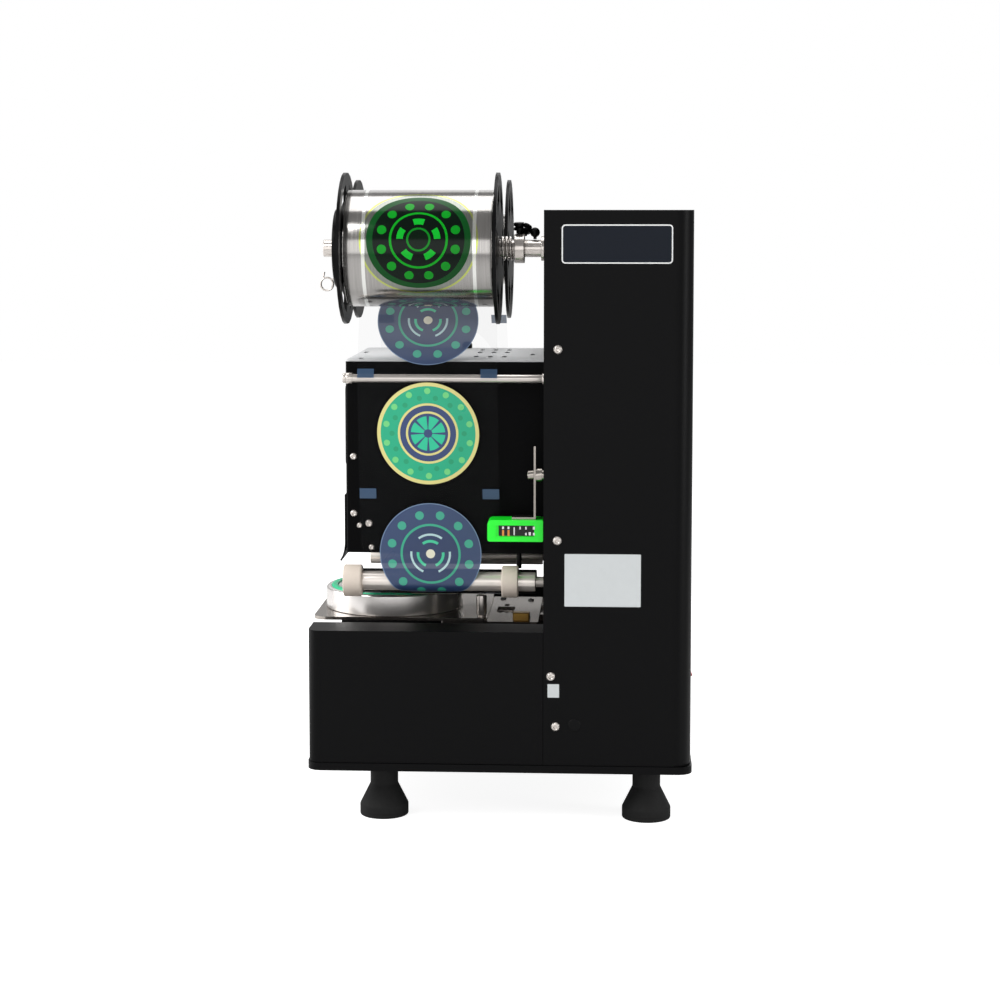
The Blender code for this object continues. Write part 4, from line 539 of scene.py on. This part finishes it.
def green_label(tree, radius, angle):
    """Round label: cream rim, green field with dots and a navy middle with a cut fruit."""
    colours = ((26.0, "#2c4070"), (28.0, "#dfd688"), (44.0, "#12ab80"), (RING_REACH, "#dfd688"))
    colour = rings(tree, radius, colours)
    colour = paint(tree, colour, "#6fd07e", dots(tree, radius, angle, 14, 39.5, 2.9))
    half_a_step = maths(tree, "ADD", angle, 0.224)
    colour = paint(tree, colour, "#0c9a6c", dots(tree, radius, half_a_step, 14, 33.5, 2.4))
    wedge = maths(tree, "GREATER_THAN", maths(tree, "ABSOLUTE", wave(tree, angle, 4.0)), 0.32)
    colour = paint(tree, colour, "#1fc396", maths(tree, "MULTIPLY", wedge, band(tree, radius, 4.0, 16.0)))
    return paint(tree, colour, "#dfd688", band(tree, radius, 18.6, 20.6))


def navy_label(tree, radius, angle):
    """Round label: navy with a pale rim, a ring of teal dots and broken rings in the middle."""
    colours = ((26.0, "#283a60"), (28.0, "#31a886"), (46.6, "#2f4369"), (RING_REACH, "#7088a8"))
    colour = rings(tree, radius, colours)
    colour = paint(tree, colour, "#3aa58a", dots(tree, radius, angle, 12, 37.0, 4.0))
    broken = maths(tree, "GREATER_THAN", wave(tree, angle, 3.0), -0.35)
    colour = paint(tree, colour, "#b7d7d9", maths(tree, "MULTIPLY", broken, band(tree, radius, 17.0, 19.0)))
    colour = paint(tree, colour, "#3fc79a", maths(tree, "MULTIPLY", broken, band(tree, radius, 10.5, 13.0)))
    return paint(tree, colour, "#e9e6cf", maths(tree, "LESS_THAN", radius, 4.2))


def make_printed_film_material():
    """Clear film with round labels in turn and blue marks at both edges. Past the press it has round holes in
    place of the labels."""
    material = bpy.data.materials.new("printed_clear_film")
    material.use_nodes = True
    tree = material.node_tree
    across, along = film_place(tree)
    cell = maths(tree, "FLOOR", maths(tree, "MULTIPLY_ADD", along, 1 / PRINT_PITCH, 0.5))
    beside = maths(tree, "SUBTRACT", along, maths(tree, "MULTIPLY", cell, PRINT_PITCH))
    radius = length(tree, across, beside)
    angle = maths(tree, "ARCTAN2", beside, across)
    odd = maths(tree, "FLOORED_MODULO", cell, 2.0)
    green, navy = green_label(tree, radius, angle), navy_label(tree, radius, angle)
    label = add(tree, "Mix", {0: odd, 6: green, 7: navy}, 2, data_type="RGBA")
    on_label = maths(tree, "LESS_THAN", radius, PRINT_RADIUS)
    edge = band(tree, maths(tree, "ABSOLUTE", across), MARK_START, FILM_HALF)
    ends = maths(tree, "GREATER_THAN", maths(tree, "ABSOLUTE", beside), PRINT_PITCH / 2 - MARK_HALF)
    mark = maths(tree, "MULTIPLY", edge, ends)
    colour = add(tree, "Mix", {0: on_label, 6: linear("#24282a"), 7: label}, 2, data_type="RGBA")
    colour = paint(tree, colour, "#2d4a69", mark)
    label_cover, mark_cover = maths(tree, "MULTIPLY", on_label, 0.96), maths(tree, "MULTIPLY", mark, 0.85)
    cover = maths(tree, "MAXIMUM", label_cover, mark_cover)
    cover = maths(tree, "MAXIMUM", cover, CLEAR_COVER)
    past = maths(tree, "GREATER_THAN", along, film_length_to_press() + CUT_START)
    hole = maths(tree, "MULTIPLY", past, maths(tree, "LESS_THAN", radius, CUT_RADIUS))
    cover = maths(tree, "MULTIPLY", cover, maths(tree, "SUBTRACT", 1.0, hole))
    shader = tree.nodes["Principled BSDF"]
    tree.links.new(colour, shader.inputs["Base Color"])
    tree.links.new(cover, shader.inputs["Alpha"])
    place = add(tree, "TexCoord", out="Object")
    noise = add(tree, "TexNoise", {"Vector": place, "Scale": 18.0, "Detail": 1.0})
    rough = add(tree, "MapRange", {"Value": noise, "To Min": 0.22, "To Max": 0.4})
    tree.links.new(rough, shader.inputs["Roughness"])
    return material


def film_rounds():
    """Axis, radius of the film's line, side of the axis and share of the sideways drift at each round: supply
    roll, near rod, feed roller, pinch roller, exit roller, far rod and take-up roll."""
    rounds = ((SUPPLY_AXIS, SUPPLY_RADIUS, -1, 1.0), (NEAR_ROD_AXIS, ROD_RADIUS, 1, ROD_SHARE),
              (FEED_AXIS, ROLLER_RADIUS, 1, 0.0), (PINCH_AXIS, PINCH_RADIUS, 1, 0.0),
              (EXIT_AXIS, ROLLER_RADIUS, 1, 0.0), (FAR_ROD_AXIS, ROD_RADIUS, 1, ROD_SHARE),
              (TAKEUP_AXIS, TAKEUP_RADIUS, -1, 1.0))
    return [(*axis, radius + FILM_CLEARANCE, side, share) for axis, radius, side, share in rounds]


def film_line():
    """The film's line as rows (y, z, drift, length along it): tangents between the rounds and arcs of
    3 degrees on them. The heading of a tangent is atan2(dz, dy) - asin((s2 r2 - s1 r1) / distance). The
    length is worked out so that the middle disc hangs at its level below the near rod."""
    rounds = film_rounds()
    headings = []
    for (y1, z1, r1, s1, _), (y2, z2, r2, s2, _) in zip(rounds, rounds[1:]):
        distance = hypot(y2 - y1, z2 - z1)
        headings.append(atan2(z2 - z1, y2 - y1) - asin((s2 * r2 - s1 * r1) / distance))
    headings = np.unwrap(headings)
    rows = []
    for index, (y, z, radius, side, drift) in enumerate(rounds):
        first = headings[max(index - 1, 0)]
        last = headings[min(index, len(headings) - 1)]
        steps = int(abs(last - first) / radians(3)) + 2
        heading = np.linspace(first, last, steps)
        reach = side * radius
        arc = [y + reach * np.sin(heading), z - reach * np.cos(heading), np.full(steps, drift)]
        rows.append(np.stack(arc, -1))
    line = np.concatenate(rows)
    moves = np.linalg.norm(np.diff(line[:, :2], axis=0), axis=1)
    along = np.concatenate([[0], np.cumsum(moves)])
    leaves_rod = np.argmax(line[:, 2] == 0) - 1
    along -= along[leaves_rod] + line[leaves_rod, 1] - MIDDLE_PRINT_LEVEL
    return np.column_stack([line, along])


def film_length_to_press():
    """The film's length at the press's middle, on the flat stretch between the pinch and exit rollers."""
    line = film_line()
    flat = line[:, 1] < EXIT_AXIS[1] - ROLLER_RADIUS
    return float(np.interp(0.0, line[flat, 0], line[flat, 3]))


def make_film():
    """The web: the film's line carried across its width, with the width's middle drifting sideways."""
    line = film_line()
    steps = np.linspace(-FILM_HALF, FILM_HALF, 14)
    middle = FILM_MIDDLE + line[:, 2] * ROLL_DRIFT
    points = np.empty((len(line), len(steps), 3))
    points[..., 0] = middle[:, None] + steps
    points[..., 1] = line[:, 0, None]
    points[..., 2] = line[:, 1, None]
    uv = np.stack(np.broadcast_arrays(steps[None, :], line[:, 3, None]), -1).reshape(-1, 2)
    film = make_printed_film_material()
    web = patch(points, False)
    piece("printed_film_web", web, film, "housing", "film", "film_web", crease=180, uv=uv)


def wound_film_finish(name):
    """Tightly wound film: metallic silver with fine rings round the roll."""
    return finish(name, "#b9b6b3", 0.15, 0.7, 0.05, 0.004, 0.55, (1, 60, 60), Metallic=0.97,
                  Specular_IOR_Level=0.15)


def make_wound_print_material():
    """Wound film with its labels showing under each other, as a dark disc with green rings. The place on the
    roll is the angle round its axis times its radius."""
    material = wound_film_finish("wound_printed_film")
    tree = material.node_tree
    shader = tree.nodes["Principled BSDF"]
    silver = shader.inputs["Base Color"].links[0].from_socket
    node = tree.nodes.new("ShaderNodeSeparateXYZ")
    tree.links.new(add(tree, "TexCoord", out="Object"), node.inputs[0])
    x, y, z = node.outputs
    axis_y, axis_z = SUPPLY_AXIS
    across = maths(tree, "MULTIPLY_ADD", x, 1 / MM, -ROLL_PRINT_MIDDLE)
    aside = maths(tree, "SUBTRACT", axis_y * MM, y)
    up = maths(tree, "SUBTRACT", z, axis_z * MM)
    angle = maths(tree, "SUBTRACT", maths(tree, "ARCTAN2", up, aside), ROLL_PRINT_TURN)
    round_roll = maths(tree, "MULTIPLY", angle, SUPPLY_RADIUS)
    radius = length(tree, across, round_roll)
    turn = maths(tree, "ARCTAN2", round_roll, across)
    colours = ((9.0, "#06180c"), (11.0, "#0b7f1f"), (24.5, "#04110a"), (26.5, "#0a9a1e"), (41.5, "#04140b"),
               (RING_REACH, "#0b4a1c"))
    disc = rings(tree, radius, colours)
    disc = paint(tree, disc, "#0a8f20", dots(tree, radius, turn, 12, 34.5, 4.2))
    petal = maths(tree, "GREATER_THAN", wave(tree, turn, 5.0), 0.15)
    disc = paint(tree, disc, "#0fae2c", maths(tree, "MULTIPLY", petal, band(tree, radius, 14.0, 20.0)))
    # Faint dark round and pale ring of the labels under the top one
    under = maths(tree, "MULTIPLY", maths(tree, "LESS_THAN", radius, 54.0), 0.4)
    colour = paint(tree, silver, "#3c5a42", under)
    colour = paint(tree, colour, "#c3cf58", maths(tree, "MULTIPLY", band(tree, radius, 52.2, 54.0), 0.7))
    # A white line along each side of the discs
    stripe = maths(tree, "COMPARE", maths(tree, "ABSOLUTE", across), 50.4, 1.6)
    colour = paint(tree, colour, "#f2f3ef", maths(tree, "MULTIPLY", stripe, 0.8))
    on_disc = maths(tree, "LESS_THAN", radius, PRINT_RADIUS)
    colour = add(tree, "Mix", {0: on_disc, 6: colour, 7: disc}, 2, data_type="RGBA")
    tree.links.new(colour, shader.inputs["Base Color"])
    # The print covers the metal
    metal = maths(tree, "MULTIPLY_ADD", on_disc, -0.9, 0.92)
    tree.links.new(metal, shader.inputs["Metallic"])
    return material


def make_rolls():
    """The printed roll on the supply spool and the plain one on the take-up spool."""
    low, high = span("supply_film_roll")
    profile = [(37.5, low[0]), (SUPPLY_RADIUS, low[0]), (SUPPLY_RADIUS, high[0]), (37.5, high[0])]
    shape = lathe(eased(profile, 0.4, 3, True), "X", (0, *SUPPLY_AXIS), 160, True)
    wound = make_wound_print_material()
    piece("wound_supply_film", shape, wound, "supply_spool", "film", "supply_film_roll")
    low, high = span("takeup_film_roll")
    profile = [(20.3, low[0]), (TAKEUP_RADIUS, low[0]), (TAKEUP_RADIUS, high[0]), (20.3, high[0])]
    shape = lathe(eased(profile, 0.5, 3, True), "X", (0, *TAKEUP_AXIS), 128, True)
    waste = wound_film_finish("wound_waste_film")
    piece("wound_waste_roll", shape, waste, "takeup_spool", "film", "takeup_film_roll")


# Fittings

def make_tower_fittings():
    """Screws on both sides of the tower, and the bare plate, labels and plug on its near side."""
    face, back = span("tower_cover")[0][1], span("tower_cover")[1][1]
    spots = ((53.6, 440.7), (53.4, 266.4), (47.6, 141.0), (52.0, 94.4))
    heads = [screw_head((x, y, z), "Y", way, 4.1) for y, way in ((face, -1), (back, 1)) for x, z in spots]
    piece("tower_side_screws", joined(*heads), polished_steel, "housing", "bright_steel")
    border = plate((56.8, 156.8), (518.2, 553.4), face - 0.5, face - SEAT, 3.4)
    piece("name_plate_border", border, white_print, "housing", "film")
    inner = plate((58.0, 155.6), (519.4, 552.2), face - 0.7, face - 0.45, 2.4)
    piece("name_plate_bare", inner, plate_enamel, "housing", "black_plastic")
    label = plate((60.1, 129.5), (205.9, 254.3), face - 0.25, face - SEAT, 0.8)
    piece("side_label_bare", label, label_paper, "housing", "film")
    sticker = plate((44.8, 55.4), (121.4, 133.9), face - 0.2, face - SEAT, 0.6)
    piece("small_sticker_bare", sticker, label_paper, "housing", "film")
    profile = [(0, face - 0.5), (5.4, face - 0.5), (6, face - SEAT), (0, face - SEAT)]
    plug = lathe(eased(profile, 0.3, 3), "Y", (69.4, 0, 96), 48)
    piece("tower_side_plug", plug, black_plastic, "housing", "black_plastic")


def make_head_fittings():
    """Screws on both sides of the head, the dome on its top and the thin post under its near edge."""
    face = span("head_cover")[0][1]
    spots = ((-139, 336.4, 3.2), (-139, 282.7, 3.2), (-124.8, 273.3, 3.6), (-133.8, 271.4, 2.6),
             (-122.5, 250.7, 2.8))
    heads = [screw_head((x, face, z), "Y", -1, r) for x, z, r in spots]
    heads += [screw_head((x, -face, z), "Y", 1, r) for x, z, r in spots[:2]]
    piece("head_side_screws", joined(*heads), polished_steel, "housing", "bright_steel")
    top = span("head_top_plate")[1][2]
    profile = [(0, top), (5, top), (5, top + 4), (3.5, top + 6.4), (0, top + 7)]
    dome = lathe(eased(profile, 1.0, 4), "Z", (-44.4, 88, 0), 40)
    piece("head_top_dome", dome, black_plastic, "housing", "black_plastic")
    profile = [(0, 231), (2.4, 231), (2.4, 245.5), (0, 245.5)]
    post = lathe(eased(profile, 0.5, 3), "Z", (16, -88, 0), 32)
    piece("head_under_post", post, black_plastic, "housing", "black_plastic")


def make_sensor_face():
    """Dark window with its indicator marks on the sensor's near side."""
    face = span("sensor_body")[0][1]
    window = plate((-0.6, 33.3), (269.0, 279.0), face + 0.05, face + 0.7, 0.5)
    piece("sensor_window_pane", window, dark_window, "housing", "black_plastic")
    low, high = face - 0.05, face + 0.06
    marks = [plate((x, x + 1.9), (268.9, 274.4), low, high, 0.3) for x in (2.6, 7.6)]
    piece("sensor_marks_orange", joined(*marks), orange_print, "housing", "film")
    spots = [((2.6, 4.4), (275.3, 277.6)), ((7.6, 9.4), (275.3, 277.6)), ((13.2, 14.2), (269.6, 277)),
             ((18.6, 19.8), (275, 277.6)), ((23.8, 25.2), (275, 277.6)), ((23.8, 25.2), (269.6, 272)),
             ((27, 29), (269.6, 272.6)), ((30.8, 32.6), (275, 277.6)), ((30.8, 32.6), (269.6, 272))]
    marks = [plate(across, upright, low, high, 0.2) for across, upright in spots]
    piece("sensor_marks_white", joined(*marks), white_print, "housing", "film")


# Light, floor and camera

def lamp(name, place, aim, width, height, power, lights_all=True):
    """An area lamp aimed at a point. With lights_all off it is seen only as a reflection."""
    data = bpy.data.lights.new(name, "AREA")
    data.shape = "RECTANGLE"
    data.size, data.size_y, data.energy = width, height, power
    made = bpy.data.objects.new(name, data)
    made.location = place
    made.rotation_euler = (Vector(aim) - Vector(place)).to_track_quat("-Z", "Y").to_euler()
    made.visible_diffuse = lights_all
    bpy.context.scene.collection.objects.link(made)


def make_world():
    """White to the camera, and a dim grey light on the machine."""
    world = bpy.data.worlds.new("studio")
    bpy.context.scene.world = world
    world.use_nodes = True
    tree = world.node_tree
    tree.nodes.clear()
    seen = add(tree, "LightPath", out="Is Camera Ray")
    dim = add(tree, "Background", {"Color": (0.3, 0.3, 0.3, 1), "Strength": 1.0})
    white = add(tree, "Background", {"Color": (1, 1, 1, 1), "Strength": 1.0})
    mixed = add(tree, "MixShader", {0: seen, 1: dim, 2: white})
    output = tree.nodes.new("ShaderNodeOutputWorld")
    tree.links.new(mixed, output.inputs[0])


def make_floor():
    """A plain pale floor that glows white to the camera and keeps the machine's shadow."""
    pale = bpy.data.materials.new("pale_studio_floor")
    pale.use_nodes = True
    tree = pale.node_tree
    tree.nodes.clear()
    seen = add(tree, "LightPath", out="Is Camera Ray")
    glow = add(tree, "Emission", {"Color": (1, 1, 1, 1), "Strength": 0.9})
    catch = add(tree, "BsdfDiffuse", {"Color": (0.5, 0.5, 0.5, 1)})
    shown = add(tree, "AddShader", {0: glow, 1: catch})
    plain = add(tree, "BsdfDiffuse", {"Color": (0.75, 0.75, 0.75, 1)})
    mixed = add(tree, "MixShader", {0: seen, 1: plain, 2: shown})
    output = tree.nodes.new("ShaderNodeOutputMaterial")
    tree.links.new(mixed, output.inputs[0])
    mesh = bpy.data.meshes.new("studio_floor")
    mesh.from_pydata([(-6, -6, 0), (6, -6, 0), (6, 6, 0), (-6, 6, 0)], [], [(0, 1, 2, 3)])
    mesh.materials.append(pale)
    floor = bpy.data.objects.new("studio_floor", mesh)
    bpy.context.scene.collection.objects.link(floor)


def make_lamps():
    """Soft lamps all round, in metres and watts. The two cards only brighten the metal's reflections."""
    lamp("key", (-1.6, -1.5, 1.9), (0, 0, 0.35), 1.6, 1.2, 48)
    lamp("strip_right", (1.7, -0.7, 0.8), (0.1, 0, 0.35), 0.4, 1.4, 16)
    lamp("panel_left", (-1.8, 0.1, 0.8), (0, 0, 0.35), 1.2, 1.5, 22)
    lamp("top", (0, 0.3, 2.3), (0, 0, 0.4), 1.5, 1.5, 22)
    lamp("rim", (0.7, 1.8, 1.3), (0, 0, 0.35), 1.2, 1.0, 20)
    lamp("front_card", (-0.1, -2.6, 0.7), (0, 0, 0.3), 3.2, 1.2, 18, False)
    lamp("back_card", (-0.3, 2.4, 1.5), (0, 0, 0.5), 2.4, 1.4, 8, False)


def make_camera():
    """The photograph's view: near side on, a little from the right and looking slightly down."""
    data = bpy.data.cameras.new("camera")
    data.lens = 79.2
    data.sensor_width = 36
    data.shift_y = -0.105
    tilt_down, turn_left = radians(4.775), radians(3.031)
    camera = bpy.data.objects.new("camera", data)
    camera.location = (0.1063, -2.1325, 0.5652)
    camera.rotation_euler = (pi / 2 - tilt_down, 0, turn_left)
    bpy.context.scene.collection.objects.link(camera)
    bpy.context.scene.camera = camera
    bpy.context.scene.view_settings.view_transform = "Standard"


dress_frame()
make_feet()
make_cup_ring()
make_drawer_fittings()
make_spool_parts()
make_spring_and_clip()
make_rods_and_rollers()
make_film()
make_rolls()
make_tower_fittings()
make_head_fittings()
make_sensor_face()
make_world()
make_floor()
make_lamps()
make_camera()
